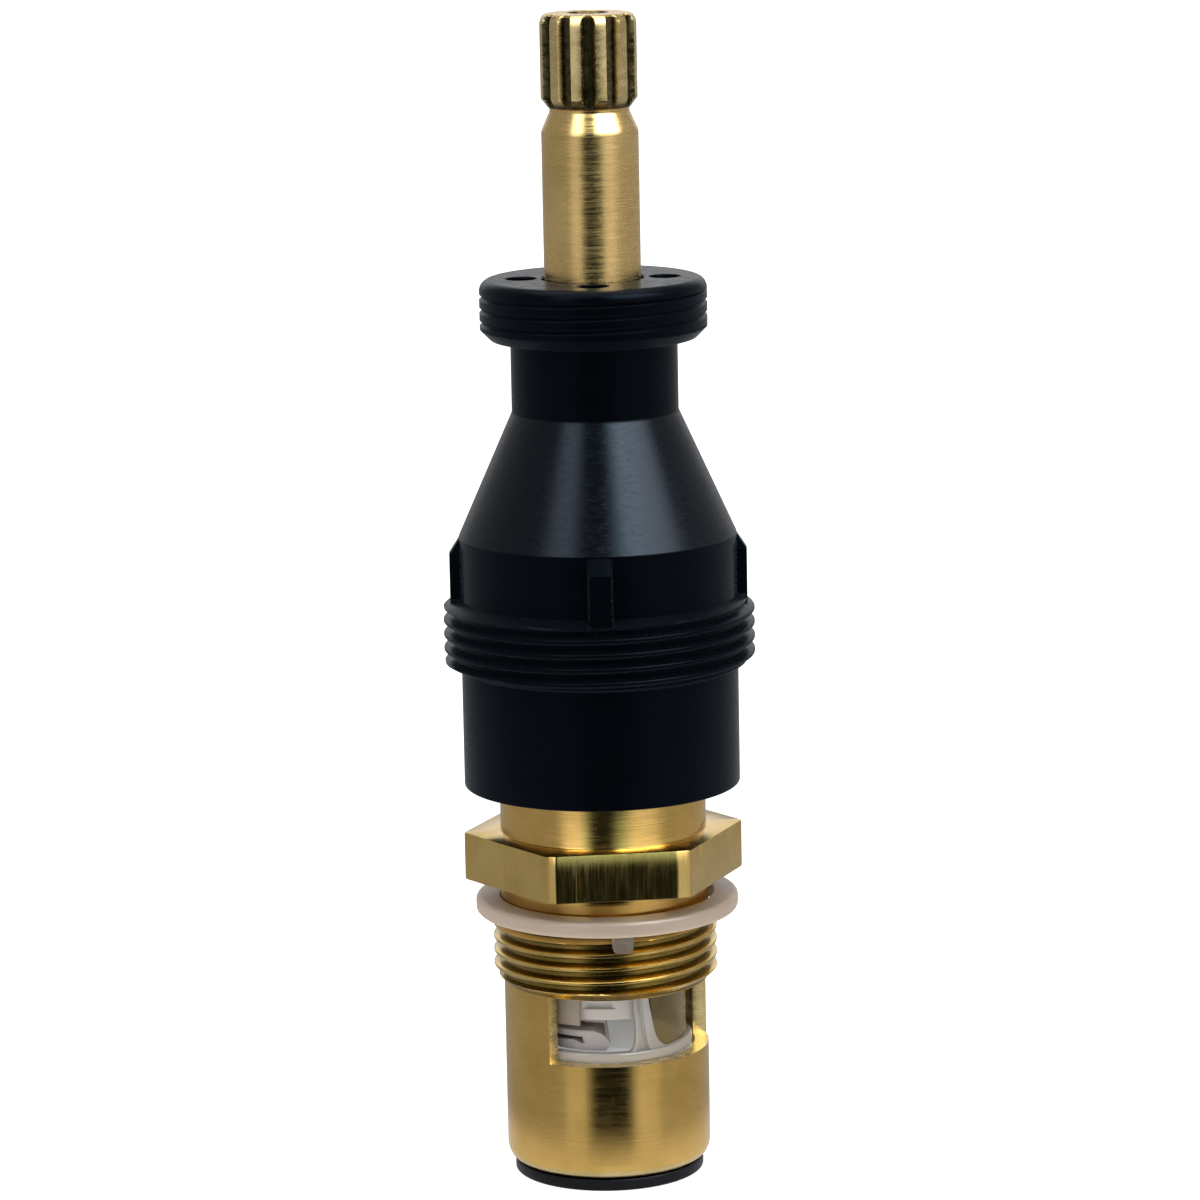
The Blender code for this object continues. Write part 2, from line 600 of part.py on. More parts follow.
def make_flow_cage():
    """Cage round the discs: two rings, leaning struts and tabs that key it to the fixed disc."""
    inner = CAGE_RADIUS - CAGE_WALL
    outlines = [circle(CAGE_RADIUS, TURN_STEPS), circle(inner, TURN_STEPS)]
    lower_bottom = FIXED_DISC_TOP + FIT_GAP
    lower_top = lower_bottom + CAGE_RING_HEIGHT
    upper_bottom = WINDOW_TOP + FIT_GAP
    cage = flat_solid("flow_cage", outlines, lower_bottom, lower_top)
    join(cage, flat_solid("upper_ring", outlines, upper_bottom, upper_bottom + CAGE_RING_HEIGHT))
    low = lower_top - JOIN_OVERLAP
    high = upper_bottom + JOIN_OVERLAP
    half = CAGE_STRUT_WIDTH / 2
    lean = CAGE_STRUT_LEAN / 2
    outline = [(lean - half, low), (lean + half, low), (half - lean, high), (-half - lean, high)]
    middle = CAGE_RADIUS - CAGE_WALL / 2
    upright = Matrix.Rotation(math.radians(90), 4, 'X')
    for index in range(CAGE_STRUT_COUNT):
        angle = CAGE_STRUT_ANGLE + 2 * math.pi * index / CAGE_STRUT_COUNT
        turn = Matrix.Rotation(angle, 4, 'Z') @ upright
        join(cage, flat_solid("strut", [outline], middle - CAGE_STRUT_THICKNESS / 2,
                              middle + CAGE_STRUT_THICKNESS / 2, turn))
    for angle in cage_tab_angles():
        tab = sector(inner, CAGE_RADIUS, angle - CAGE_TAB_SPREAD, angle + CAGE_TAB_SPREAD,
                     SHORT_ARC_STEPS)
        join(cage, flat_solid("tab", [tab], FIXED_DISC_TOP - CAGE_TAB_LENGTH,
                              lower_bottom + JOIN_OVERLAP))
    return cage


def ring_groove(middle, width, surface, floor):
    """Profile points of a groove in a turned surface, running down."""
    return [(surface, middle + width / 2), (floor, middle + width / 2),
            (floor, middle - width / 2), (surface, middle - width / 2)]


def make_cartridge_spindle():
    """Short brass spindle: splined top, circlip and ring grooves, collar and tongue."""
    bore = STUD_RADIUS + FIT_GAP
    hole_bottom = DRIVE_TOP - STUD_SEAT - FIT_GAP
    profile = [(0.0, SHANK_TOP), (DRIVE_TIP_RADIUS + TAPER_STEP, SHANK_TOP),
               (SHANK_RADIUS, SHANK_TOP - TAPER_HEIGHT)]
    profile += ring_groove((CIRCLIP_BOTTOM + CIRCLIP_TOP) / 2, CIRCLIP_THICKNESS + FIT_GAP,
                           SHANK_RADIUS, CLIP_GROOVE_RADIUS)
    for rise in (UPPER_RING_RISE, LOWER_RING_RISE):
        profile += ring_groove(SHOULDER + rise, RING_GROOVE_WIDTH, SHANK_RADIUS, RING_GROOVE_RADIUS)
    profile += [(SHANK_RADIUS, COLLAR_TOP), (ROTOR_RADIUS, COLLAR_TOP),
                (ROTOR_RADIUS, COLLAR_BOTTOM), (0.0, COLLAR_BOTTOM)]
    spindle = turned("cartridge_spindle", profile, False, SMALL_TURN_STEPS)
    root = DRIVE_TIP_RADIUS - DRIVE_TOOTH_DEPTH
    teeth = toothed(DRIVE_TEETH, root, DRIVE_TIP_RADIUS, DRIVE_TOOTH_SHARE, DRIVE_ROOT_SHARE)
    join(spindle, flat_solid("drive_teeth", [teeth], SHANK_TOP - JOIN_OVERLAP, DRIVE_TOP))
    cut(spindle, flat_solid("stud_hole_cutter", [circle(bore, SMALL_TURN_STEPS)], hole_bottom,
                            DRIVE_TOP + CUT_MARGIN))
    reach = ROTOR_RADIUS - TONGUE_SETBACK
    tongue = rectangle(-TONGUE_WIDTH / 2, TONGUE_WIDTH / 2, -reach, reach)
    join(spindle, flat_solid("tongue", [tongue], COLLAR_BOTTOM - TONGUE_DEPTH,
                             COLLAR_BOTTOM + JOIN_OVERLAP, turned_to(OPEN_SIDE_ANGLE)))
    pin_room = math.asin(STOP_PIN_RADIUS / STOP_PIN_CIRCLE) + FIT_GAP / STOP_PIN_CIRCLE
    notch = sector(COLLAR_HUB_RADIUS, ROTOR_RADIUS + CUT_MARGIN,
                   STOP_PIN_ANGLE - TURN_RANGE - pin_room, STOP_PIN_ANGLE + pin_room,
                   SMALL_TURN_STEPS)
    cut(spindle, flat_solid("stop_notch_cutter", [notch], COLLAR_TOP - STOP_NOTCH_DEPTH,
                            COLLAR_TOP + CUT_MARGIN))
    return spindle


def make_stop_pin():
    """Pin in the body's shoulder that the collar's notch runs against."""
    centre = at_angle(STOP_PIN_ANGLE, STOP_PIN_CIRCLE)
    return flat_solid("stop_pin", [circle(STOP_PIN_RADIUS, HOLE_STEPS, centre)],
                      COLLAR_TOP - STOP_NOTCH_DEPTH + FIT_GAP, SHOULDER + STOP_PIN_SEAT)


def make_thrust_washer():
    """Slide washer between the collar and the shoulder, with a hole for the stop pin."""
    centre = at_angle(STOP_PIN_ANGLE, STOP_PIN_CIRCLE)
    outlines = [circle(CAGE_RADIUS, TURN_STEPS), circle(SPINDLE_BORE_RADIUS, SMALL_TURN_STEPS),
                circle(STOP_PIN_RADIUS + PIN_GAP, HOLE_STEPS, centre)]
    return flat_solid("thrust_washer", outlines, THRUST_WASHER_BOTTOM, THRUST_WASHER_TOP)


def make_spindle_ring(name, rise):
    """Rubber ring in one of the short spindle's grooves."""
    radius = RING_GROOVE_RADIUS + FIT_GAP + SPINDLE_RING_SECTION / 2
    return turned(name, ring_section(radius, SPINDLE_RING_SECTION, SHOULDER + rise), True,
                  SMALL_TURN_STEPS)


def make_circlip_washer():
    """Washer between the body's top and the circlip."""
    outlines = [circle(CIRCLIP_WASHER_RADIUS, TURN_STEPS), circle(SPINDLE_BORE_RADIUS, SMALL_TURN_STEPS)]
    return flat_solid("circlip_washer", outlines, CIRCLIP_WASHER_BOTTOM, CIRCLIP_WASHER_TOP)


def make_circlip():
    """Open spring ring in the short spindle's upper groove."""
    half_mouth = CIRCLIP_MOUTH / 2
    outline = sector(CLIP_GROOVE_RADIUS + PIN_GAP, CIRCLIP_OUTER_RADIUS, half_mouth,
                     2 * math.pi - half_mouth, SMALL_TURN_STEPS)
    return flat_solid("spindle_circlip", [outline], CIRCLIP_BOTTOM, CIRCLIP_TOP)


def body_profile():
    """Profile of the brass body, down the outside and up the stepped bore."""
    profile = [(SPINDLE_BORE_RADIUS + SPIGOT_EDGE / 2, BODY_TOP),
               (SPIGOT_RADIUS - SPIGOT_EDGE, BODY_TOP), (SPIGOT_RADIUS, BODY_TOP - SPIGOT_EDGE)]
    profile += ring_groove(GRIP_GROOVE_TOP - GRIP_GROOVE_WIDTH / 2, GRIP_GROOVE_WIDTH,
                           SPIGOT_RADIUS, GRIP_GROOVE_RADIUS)
    hex_middle = (HEX_BOTTOM + HEX_TOP) / 2
    profile += [(SPIGOT_RADIUS, hex_middle), (RELIEF_RADIUS, hex_middle), (RELIEF_RADIUS, THREAD_TOP)]
    profile += thread_ridges(BODY_THREAD_RADIUS, BODY_THREAD_DEPTH, BODY_THREAD_PITCH,
                             THREAD_TOP, THREAD_BOTTOM)
    profile += [(BARREL_RADIUS, THREAD_BOTTOM), (BARREL_RADIUS, BODY_BOTTOM + BARREL_EDGE),
                (BARREL_RADIUS - BARREL_EDGE, BODY_BOTTOM), (BARREL_BORE_RADIUS, BODY_BOTTOM),
                (BARREL_BORE_RADIUS, SHOULDER), (SPINDLE_BORE_RADIUS, SHOULDER),
                (SPINDLE_BORE_RADIUS, BODY_TOP - SPIGOT_EDGE / 2)]
    return profile


def make_cartridge_body():
    """Brass body: spigot, hexagon, relief neck, threaded length and a barrel with a side window."""
    body = turned("cartridge_body", body_profile(), True)
    wall_middle = (SPIGOT_RADIUS + BARREL_BORE_RADIUS) / 2
    outlines = [hexagon(HEX_ACROSS_FLATS, HEX_CORNER_ROUNDING, CORNER_STEPS),
                circle(wall_middle, TURN_STEPS)]
    join(body, flat_solid("hexagon", outlines, HEX_BOTTOM, HEX_TOP, turned_to(HEX_FLAT_ANGLE)))
    window = sector(BARREL_BORE_RADIUS / 2, BARREL_RADIUS + 2 * CUT_MARGIN, WINDOW_START_ANGLE,
                    WINDOW_END_ANGLE, SMALL_TURN_STEPS)
    cut(body, flat_solid("window_cutter", [window], WINDOW_SILL, WINDOW_TOP))
    centre = at_angle(STOP_PIN_ANGLE, STOP_PIN_CIRCLE)
    pin_hole = circle(STOP_PIN_RADIUS + PIN_GAP, HOLE_STEPS, centre)
    cut(body, flat_solid("pin_hole_cutter", [pin_hole], SHOULDER - CUT_MARGIN,
                         SHOULDER + STOP_PIN_SEAT + FIT_GAP))
    return body


def make_sealing_washer():
    """Nylon ring round the relief neck, with the small tab its mould left."""
    bottom = THREAD_TOP + FIT_GAP
    top = bottom + SEALING_WASHER_THICKNESS
    inner = RELIEF_RADIUS + FIT_GAP
    outer = SEALING_WASHER_RADIUS
    edge = SEALING_WASHER_EDGE
    profile = [(inner, top), (outer - edge, top), (outer, top - edge), (outer, bottom + edge),
               (outer - edge, bottom), (inner, bottom)]
    washer = turned("sealing_washer", profile, True)
    tab_inner = BODY_THREAD_RADIUS + FIT_GAP
    tab = rectangle(tab_inner, tab_inner + WASHER_TAB_THICKNESS, -WASHER_TAB_WIDTH / 2,
                    WASHER_TAB_WIDTH / 2)
    join(washer, flat_solid("tab", [tab], bottom - WASHER_TAB_DROP, bottom + JOIN_OVERLAP,
                            turned_to(WASHER_TAB_ANGLE)))
    return washer


def make_grip_ring():
    """Rubber ring in the spigot's groove that holds the sleeve."""
    radius = GRIP_GROOVE_RADIUS + FIT_GAP + GRIP_RING_SECTION / 2
    return turned("sleeve_grip_ring", ring_section(radius, GRIP_RING_SECTION,
                                                   GRIP_GROOVE_TOP - GRIP_GROOVE_WIDTH / 2), True)


def sleeve_outer_profile():
    """Outside of the sleeve, from the top face down to the skirt's edge."""
    chamfer_bottom = SLEEVE_TOP - FLANGE_CHAMFER
    undercut_top = FLANGE_BOTTOM + FLANGE_UNDERCUT
    profile = [(FLANGE_RADIUS - FLANGE_CHAMFER_WIDTH, SLEEVE_TOP), (FLANGE_RADIUS, chamfer_bottom)]
    profile += thread_grooves(FLANGE_RADIUS, FLANGE_THREAD_DEPTH, FLANGE_THREAD_PITCH,
                              chamfer_bottom, FLANGE_BOTTOM)
    profile += [(FLANGE_RADIUS, undercut_top),
                (FLANGE_RADIUS - FLANGE_UNDERCUT, FLANGE_BOTTOM), (NECK_RADIUS, FLANGE_BOTTOM),
                (NECK_RADIUS, CONE_TOP), (SKIRT_RADIUS, CONE_BOTTOM), (SKIRT_RADIUS, BIG_THREAD_TOP)]
    profile += thread_ridges(BIG_THREAD_RADIUS, BIG_THREAD_DEPTH, BIG_THREAD_PITCH,
                             BIG_THREAD_TOP, BIG_THREAD_BOTTOM)
    profile += [(SKIRT_RADIUS, BIG_THREAD_BOTTOM), (SKIRT_RADIUS, SLEEVE_BOTTOM + SKIRT_EDGE),
                (SKIRT_RADIUS - SKIRT_EDGE, SLEEVE_BOTTOM)]
    return profile


def sleeve_inner_profile():
    """Bore of the sleeve, from the skirt's mouth up to the stem's guide."""
    ledge = BODY_TOP + FIT_GAP
    guide_bottom = SLEEVE_TOP - GUIDE_LENGTH
    return [(SLEEVE_BORE_RADIUS + SKIRT_EDGE / 2, SLEEVE_BOTTOM),
            (SLEEVE_BORE_RADIUS, SLEEVE_BOTTOM + SKIRT_EDGE / 2), (SLEEVE_BORE_RADIUS, ledge),
            (CAVITY_RADIUS, ledge), (CAVITY_RADIUS, CONE_BOTTOM - CONE_WALL),
            (NECK_BORE_RADIUS, CONE_TOP - CONE_WALL), (NECK_BORE_RADIUS, guide_bottom),
            (GUIDE_BORE_RADIUS, guide_bottom), (GUIDE_BORE_RADIUS, SLEEVE_TOP)]


def make_extension_sleeve():
    """Moulded sleeve: flange with spanner holes, neck, cone, ribbed drum, threaded ring and skirt."""
    sleeve = turned("extension_sleeve", sleeve_outer_profile() + sleeve_inner_profile(), True)
    rib_bottom = BIG_THREAD_TOP - BIG_THREAD_PITCH / 2
    rib_top = BIG_THREAD_TOP + RIB_HEIGHT
    rib_inner = SKIRT_RADIUS - JOIN_OVERLAP
    outline = [(rib_inner, rib_bottom), (RIB_OUTER_RADIUS, rib_bottom),
               (RIB_OUTER_RADIUS, rib_top - RIB_CHAMFER),
               (RIB_OUTER_RADIUS - RIB_CHAMFER, rib_top), (rib_inner, rib_top)]
    upright = Matrix.Rotation(math.radians(90), 4, 'X')
    for index in range(RIB_COUNT):
        angle = RIB_ANGLE + 2 * math.pi * index / RIB_COUNT
        join(sleeve, flat_solid("rib", [outline], -RIB_WIDTH / 2, RIB_WIDTH / 2,
                                turned_to(angle) @ upright))
    holes = [circle(SPANNER_HOLE_RADIUS, HOLE_STEPS,
                    at_angle(2 * math.pi * index / SPANNER_HOLE_COUNT, SPANNER_HOLE_CIRCLE))
             for index in range(SPANNER_HOLE_COUNT)]
    cut(sleeve, flat_solid("spanner_hole_cutter", holes, SLEEVE_TOP - SPANNER_HOLE_DEPTH,
                           SLEEVE_TOP + CUT_MARGIN))
    return sleeve


def head_rounding(steps):
    """Quarter-round from the head's flat top to its full radius."""
    points = []
    for step in range(steps + 1):
        angle = math.pi / 2 * step / steps
        points.append((HEAD_TOP_RADIUS + (HEAD_RADIUS - HEAD_TOP_RADIUS) * math.sin(angle),
                       STEM_TOP - HEAD_TOP_ROUNDING * (1 - math.cos(angle))))
    return points


def make_extension_spindle():
    """Long brass spindle: splined head with a tapped hole, neck, stem and toothed socket."""
    neck = STEM_TOP - HEAD_LENGTH
    hole_bottom = STEM_TOP - HANDLE_HOLE_DEPTH
    stud_bore = STUD_RADIUS + FIT_GAP
    stud_roof = SOCKET_ROOF + STUD_SEAT + FIT_GAP
    profile = [(0.0, hole_bottom), (HANDLE_HOLE_RADIUS, hole_bottom),
               (HANDLE_HOLE_RADIUS, STEM_TOP - HANDLE_HOLE_COUNTERSINK),
               (HANDLE_HOLE_RADIUS + HANDLE_HOLE_COUNTERSINK, STEM_TOP)]
    profile += head_rounding(SHORT_ARC_STEPS)
    profile += [(HEAD_RADIUS, neck + HEAD_CONE_LENGTH), (HEAD_UNDERCUT_RADIUS, neck),
                (STEM_RADIUS, neck - FLARE_LENGTH), (STEM_RADIUS, STEM_BOTTOM),
                (stud_bore, STEM_BOTTOM), (stud_bore, stud_roof), (0.0, stud_roof)]
    spindle = turned("extension_spindle", profile, False)
    root = DRIVE_TIP_RADIUS - DRIVE_TOOTH_DEPTH
    socket = toothed(DRIVE_TEETH, root + FIT_GAP, DRIVE_TIP_RADIUS + FIT_GAP,
                     DRIVE_TOOTH_SHARE + DRIVE_SOCKET_CHANGE, DRIVE_ROOT_SHARE - DRIVE_SOCKET_CHANGE)
    cut(spindle, flat_solid("socket_cutter", [socket], STEM_BOTTOM - CUT_MARGIN, SOCKET_ROOF))
    floor = HEAD_RADIUS - SPLINE_DEPTH
    half_mouth = SPLINE_GROOVE_WIDTH / 2
    half_floor = SPLINE_FLOOR_WIDTH / 2
    slope = (half_mouth - half_floor) / SPLINE_DEPTH
    far = HEAD_RADIUS + CUT_MARGIN
    groove = [(floor, -half_floor), (far, -half_mouth - slope * CUT_MARGIN),
              (far, half_mouth + slope * CUT_MARGIN), (floor, half_floor)]
    for index in range(SPLINE_COUNT):
        cut(spindle, flat_solid("groove_cutter", [groove], neck - FLARE_LENGTH / 2,
                                STEM_TOP + CUT_MARGIN,
                                turned_to(2 * math.pi * index / SPLINE_COUNT)))
    return spindle


def make_coupling_stud():
    """Threaded stud that draws the long spindle down onto the short one."""
    centre_height = DRIVE_TOP + FIT_GAP / 2
    half = STUD_SEAT
    edge = STUD_EDGE
    profile = [(0.0, centre_height + half), (STUD_RADIUS - edge, centre_height + half),
               (STUD_RADIUS, centre_height + half - edge), (STUD_RADIUS, centre_height - half + edge),
               (STUD_RADIUS - edge, centre_height - half), (0.0, centre_height - half)]
    return turned("coupling_stud", profile, False, SMALL_TURN_STEPS)


def dress(part, material, collection):
    """Give a finished part its material and smooth shading, and put it in its collection."""
    part.data.materials.clear()
    part.data.materials.append(material)
    part.data.shade_smooth()
    part.data.set_sharp_from_angle(angle=SHARP_ANGLE)
    for holder in list(part.users_collection):
        holder.objects.unlink(part)
    collection.objects.link(part)


def build():
    """Make every part and parent the turning ones to the spindle's axis."""
    clear_scene()
    collection = new_collection("tap_cartridge")
    brass = principled("brass", (0.72, 0.53, 0.25), 0.28, 1.0)
    steel = principled("steel", (0.62, 0.61, 0.59), 0.3, 1.0)
    sleeve_plastic = principled("black_plastic", (0.012, 0.014, 0.018), 0.38, 0.0)
    rubber = principled("black_rubber", (0.01, 0.01, 0.01), 0.6, 0.0)
    nylon = principled("translucent_nylon", (0.72, 0.66, 0.6), 0.4, 0.0, 0.25)
    clear_plastic = principled("clear_plastic", (0.8, 0.8, 0.78), 0.2, 0.0, 0.6)
    white_plastic = principled("white_plastic", (0.75, 0.74, 0.7), 0.4, 0.0)
    ceramic = principled("white_ceramic", (0.82, 0.82, 0.8), 0.15, 0.0)
    fixed_parts = [
        (make_seat_seal, rubber), (make_seal_support_ring, white_plastic),
        (make_fixed_disc, ceramic), (make_flow_cage, clear_plastic),
        (make_thrust_washer, white_plastic), (make_stop_pin, steel),
        (make_cartridge_body, brass), (make_sealing_washer, nylon),
        (make_circlip_washer, brass), (make_grip_ring, rubber),
        (make_extension_sleeve, sleeve_plastic),
    ]
    turning_parts = [
        (make_moving_disc, ceramic), (make_driver, white_plastic),
        (make_cartridge_spindle, brass), (make_circlip, steel),
        (make_coupling_stud, steel), (make_extension_spindle, brass),
    ]
    for make, material in fixed_parts:
        dress(make(), material, collection)
    axis = bpy.data.objects.new("spindle_axis", None)
    collection.objects.link(axis)
    turning = []
    for make, material in turning_parts:
        turning.append((make(), material))
    turning.append((make_spindle_ring("lower_o_ring", LOWER_RING_RISE), rubber))
    turning.append((make_spindle_ring("upper_o_ring", UPPER_RING_RISE), rubber))
    for part, material in turning:
        dress(part, material, collection)
        part.parent = axis


build()
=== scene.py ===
"""Looks of the ceramic disc tap cartridge: skins with true threads, finishes, floor, light and camera.

Lengths are written in millimetres and handed to Blender in metres. Angles round the axis are
counted from the front (-Y), anticlockwise as seen from above.
"""

import json
import math

import bmesh
import bpy
from mathutils import Matrix, Vector

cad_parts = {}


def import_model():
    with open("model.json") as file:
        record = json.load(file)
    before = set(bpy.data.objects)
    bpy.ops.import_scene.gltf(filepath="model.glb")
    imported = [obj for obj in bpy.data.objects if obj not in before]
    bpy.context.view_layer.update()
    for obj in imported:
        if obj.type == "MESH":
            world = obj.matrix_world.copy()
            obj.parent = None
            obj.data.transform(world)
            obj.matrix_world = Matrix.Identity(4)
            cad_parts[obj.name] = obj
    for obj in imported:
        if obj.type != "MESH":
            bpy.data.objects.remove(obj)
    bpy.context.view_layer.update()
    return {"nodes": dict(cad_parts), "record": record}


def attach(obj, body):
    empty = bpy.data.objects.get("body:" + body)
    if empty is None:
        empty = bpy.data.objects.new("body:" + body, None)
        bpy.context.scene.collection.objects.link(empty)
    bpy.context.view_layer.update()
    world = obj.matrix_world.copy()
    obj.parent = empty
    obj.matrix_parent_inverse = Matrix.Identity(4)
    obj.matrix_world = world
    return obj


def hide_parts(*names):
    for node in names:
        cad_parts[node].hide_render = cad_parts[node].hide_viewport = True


MM = 0.001
FULL_TURN = 2 * math.pi

# Facets, the distance at which points are welded, and the margin for sorting faces
COLUMNS = 240
HEAD_COLUMNS = 288
INNER_COLUMNS = 144
FILLET_STEPS = 4
THREAD_STEPS = 16
HOLE_STEPS = 32
FLOOR_STEPS = 96
SHARP_ANGLE = math.radians(34)
MERGE = 0.00002
MARGIN = 0.1

# Small fillets and edges
FINE_FILLET = 0.1
SMALL_FILLET = 0.2
LARGE_FILLET = 0.3

# Spindle above the sleeve
STEM_RADIUS = 4.93
STEM_BOTTOM = 55.9
HEAD_TOP = 120.4
TOP_FACE_DEPTH = 0.3
HEAD_RADIUS = 4.95
HEAD_TOP_RADIUS = 3.95
HEAD_TOP_ROUNDING = 1.05
HEAD_LENGTH = 9.6
HEAD_CONE = 1.1
NECK_TOP = HEAD_TOP - HEAD_LENGTH
HEAD_ROUNDING_STEPS = 7
HEAD_SIDE_DROP = 1.6
HEAD_SIDE_STEP = 1.15
HEAD_SIDE_STEPS = 6
HEAD_CONE_STEPS = 8
HEAD_SHARP_ANGLE = math.radians(28)
NECK_RADIUS = 4.05
NECK_LENGTH = 2.25
NECK_STEP = 0.25
NECK_FILLET = 1.2
STEM_EDGE = 0.3
SPLINES = 12
SPLINE_DEPTH = 0.8
SPLINE_MOUTH = 1.5
SPLINE_FLOOR = 0.8
HANDLE_HOLE_RADIUS = 1.65
HANDLE_HOLE_DEPTH = 12.0
HANDLE_HOLE_BEVEL = 0.45
HANDLE_HOLE_TIP = 0.6
SOCKET_RADIUS = 3.6
SOCKET_DEPTH = 8.5

# Brass body. The barrel's end is a soft curve through (radius, height) points
BODY_BOTTOM = 1.5
BARREL_END = ((10.6, 3.0), (10.57, 2.6), (10.46, 2.2), (10.26, 1.8), (10.05, 1.6), (9.92, 1.5))
BARREL_END_START = 1.0
BODY_TOP = 52.0
BARREL_RADIUS = 10.6
BARREL_BORE = 9.15
BORE_TOP = 25.0
SPINDLE_BORE = 4.9
SPINDLE_BORE_EDGE = 0.4
BODY_THREAD = {"crest": 11.6, "depth": 0.92, "pitch": 1.44, "low": 20.55, "high": 27.45, "phase": 26.9,
               "shares": (0.15, 0.78), "lead": 1.0}
RELIEF_RADIUS = 10.8
RELIEF_STEP = 1.2
HEX_LOW = 31.43
HEX_HIGH = 36.42
HEX_FLATS = 25.3
HEX_ROUNDING = 0.9
HEX_CORNER_SHARES = (-1.02, -0.67, -0.33, 0, 0.33, 0.67, 1.02)
HEX_EDGE = 0.18
HEX_EDGE_MIDDLE = 0.3
HEX_STEP_PLACE = -4.4
HEX_STEP_HALF = 0.02
HEX_STEP_DEPTH = 0.025
HEX_STRIP_LEFT = -6.5
HEX_STRIP_LEFT_SLOPE = 0.42
HEX_STRIP_RIGHT = 6.0
HEX_STRIP_RIGHT_SLOPE = 0.2
HEX_TURN = math.radians(7)
HEX_SIDES = 6
HEX_HALF_ANGLE = math.radians(30)
SPIGOT_RADIUS = 10.65
SPIGOT_FILLET = 0.5
SPIGOT_FOOT = 0.12
SPIGOT_FOOT_MIDDLE = 0.03
GRIP_GROOVE = {"low": 43.15, "high": 46.0, "radius": 8.55}
WINDOW_START = math.radians(-34)
WINDOW_END = math.radians(101)
WINDOW_LOW = 13.45
WINDOW_HIGH = 20.5
WINDOW_EDGE = 0.1

# Sealing washer. A layer of its tab is (set-back from the outer face, share of the outline)
WASHER_LOW = 27.75
WASHER_HIGH = 29.5
WASHER_INNER = 11.1
WASHER_OUTER = 13.6
WASHER_SHIFT = 0.26
WASHER_FILLET = 0.55
WASHER_FILLET_STEPS = 6
WASHER_TAB_TURN = math.radians(7)
WASHER_TAB_WIDTH = 2.1
WASHER_TAB_RISE = 0.35
WASHER_TAB_DROP = 1.75
WASHER_TAB_CORNER = 0.55
WASHER_TAB_INNER = 11.95
WASHER_TAB_OUTER = 12.95
WASHER_TAB_LAYERS = ((0.0, 0.82), (0.12, 0.96), (0.25, 1.0), (WASHER_TAB_OUTER - WASHER_TAB_INNER, 1.0))

# Mechanism seen through the window
SOFT_EDGE = 0.09
BLOCK_EDGE = 0.08
BLOCK_STEPS = 10
LEDGE = 0.02
OVERLAP = 0.1
NOTCH_SLOPE = 6
OPEN_SIDE = math.radians(92)
ROTOR_RADIUS = 7.6
ROTOR_STEPS = 90
DISC_FLAT = 0.4
DISC_FLAT_BULGE = -0.05
DISC_FLAT_TOP = 1.5
DISC_LOW = 14.4
DISC_HIGH = 16.5
SLOT_START = math.radians(-66)
SLOT_END = math.radians(-20)
SLOT_LOW = 15.1
SLOT_HIGH = 15.8
SLOT_RISE = 0.45
SLOT_DEPTH = 3.0
PLATE_FLAT = -2.6
PLATE_LOW = 17.65
PLATE_HIGH = 20.2
RECESS_START = math.radians(-18.8)
RECESS_END = math.radians(6.5)
RECESS_LOW = 18.8
RECESS_HIGH = 19.5
RECESS_DEPTH = 0.5
FOOT_RADIUS = 5.6
FOOT_LOW = 16.8
CAGE_INNER = 7.9
CAGE_OUTER = 8.85
CAGE_LOW = 13.3
CAGE_RING = 1.1
CAGE_LOW_FILLET = 0.12
CAGE_HIGH_FILLET = 0.25
CAGE_BORE_START = 0.3
CAGE_BORE_END = 0.4
CAGE_UPPER = 20.6
CAGE_STRUTS = 3
STRUT_TURN = math.radians(29)
STRUT_LEFT = (math.radians(20.5), math.radians(18.6))
STRUT_RIGHT = (math.radians(38), math.radians(29))
STRUT_FLARE = 0.09
STRUT_FLARE_LEFT = math.radians(6)
STRUT_FLARE_RIGHT = math.radians(11)
STRUT_LEVELS = (0.0, 0.03, 0.07, 0.12, 0.2, 0.32, 0.5, 0.7, 0.9, 1.0)
STRUT_OUTLINE = ((0.0, 8.45), (0.03, 8.65), (0.13, 8.65), (0.19, 8.12), (0.42, 8.12), (0.5, 8.6),
                 (0.94, 8.6), (1.0, 8.4), (0.96, 7.95), (0.04, 7.95))
PANEL_START = math.radians(-50)
PANEL_END = math.radians(-19.6)
PANEL_LOW = 17.2
PANEL_RADII = (8.15, 8.55)
WALL_START = math.radians(33)
WALL_END = math.radians(88)
WALL_RADII = (8.0, 8.25)
TAB_HALF = math.radians(9)
TAB_LOW = 11.6
TAB_OVERLAP = 0.15
TAB_EDGE = 0.05

# Seat seal
SEAL_RADIUS = 9.83
SEAL_THICKNESS = 1.25
SEAL_TOP = 8.1
SEAL_PLUG_RADIUS = 8.85
SEAL_INLET = 6.15
SEAL_POCKET = 7.35
SEAL_LIP = 0.8
SEAL_FOOT_FILLET = 0.22

# Black sleeve
SLEEVE_LOW = 41.2
SLEEVE_HIGH = 93.6
SKIRT_RADIUS = 14.25
SKIRT_STEP = 0.1
BIG_THREAD = {"crest": 16.0, "depth": 0.95, "pitch": 1.465, "low": 53.45, "high": 60.9, "phase": 60.44,
              "shares": (0.15, 0.78), "lead": 1.9}
CONE_LOW = 67.25
CONE_HIGH = 80.0
CONE_FILLETS = (1.0, 0.35)
SLEEVE_NECK_RADIUS = 8.53
FLANGE_LOW = 87.45
FLANGE_RADIUS = 11.6
FLANGE_THREAD = {"crest": 11.6, "depth": 0.26, "pitch": 1.33, "low": 88.65, "high": 92.4, "phase": 90.2,
                 "shares": (0.55, 0.92), "lead": 0.0}
FLANGE_ROUNDING = 1.15
FLANGE_ROUNDING_STEPS = 8
FLANGE_TOP_STEP = 0.3
FLANGE_THREAD_STEP = 0.01
FLANGE_NECK_FILLET = 0.25
FLANGE_UNDERCUT = 1.1
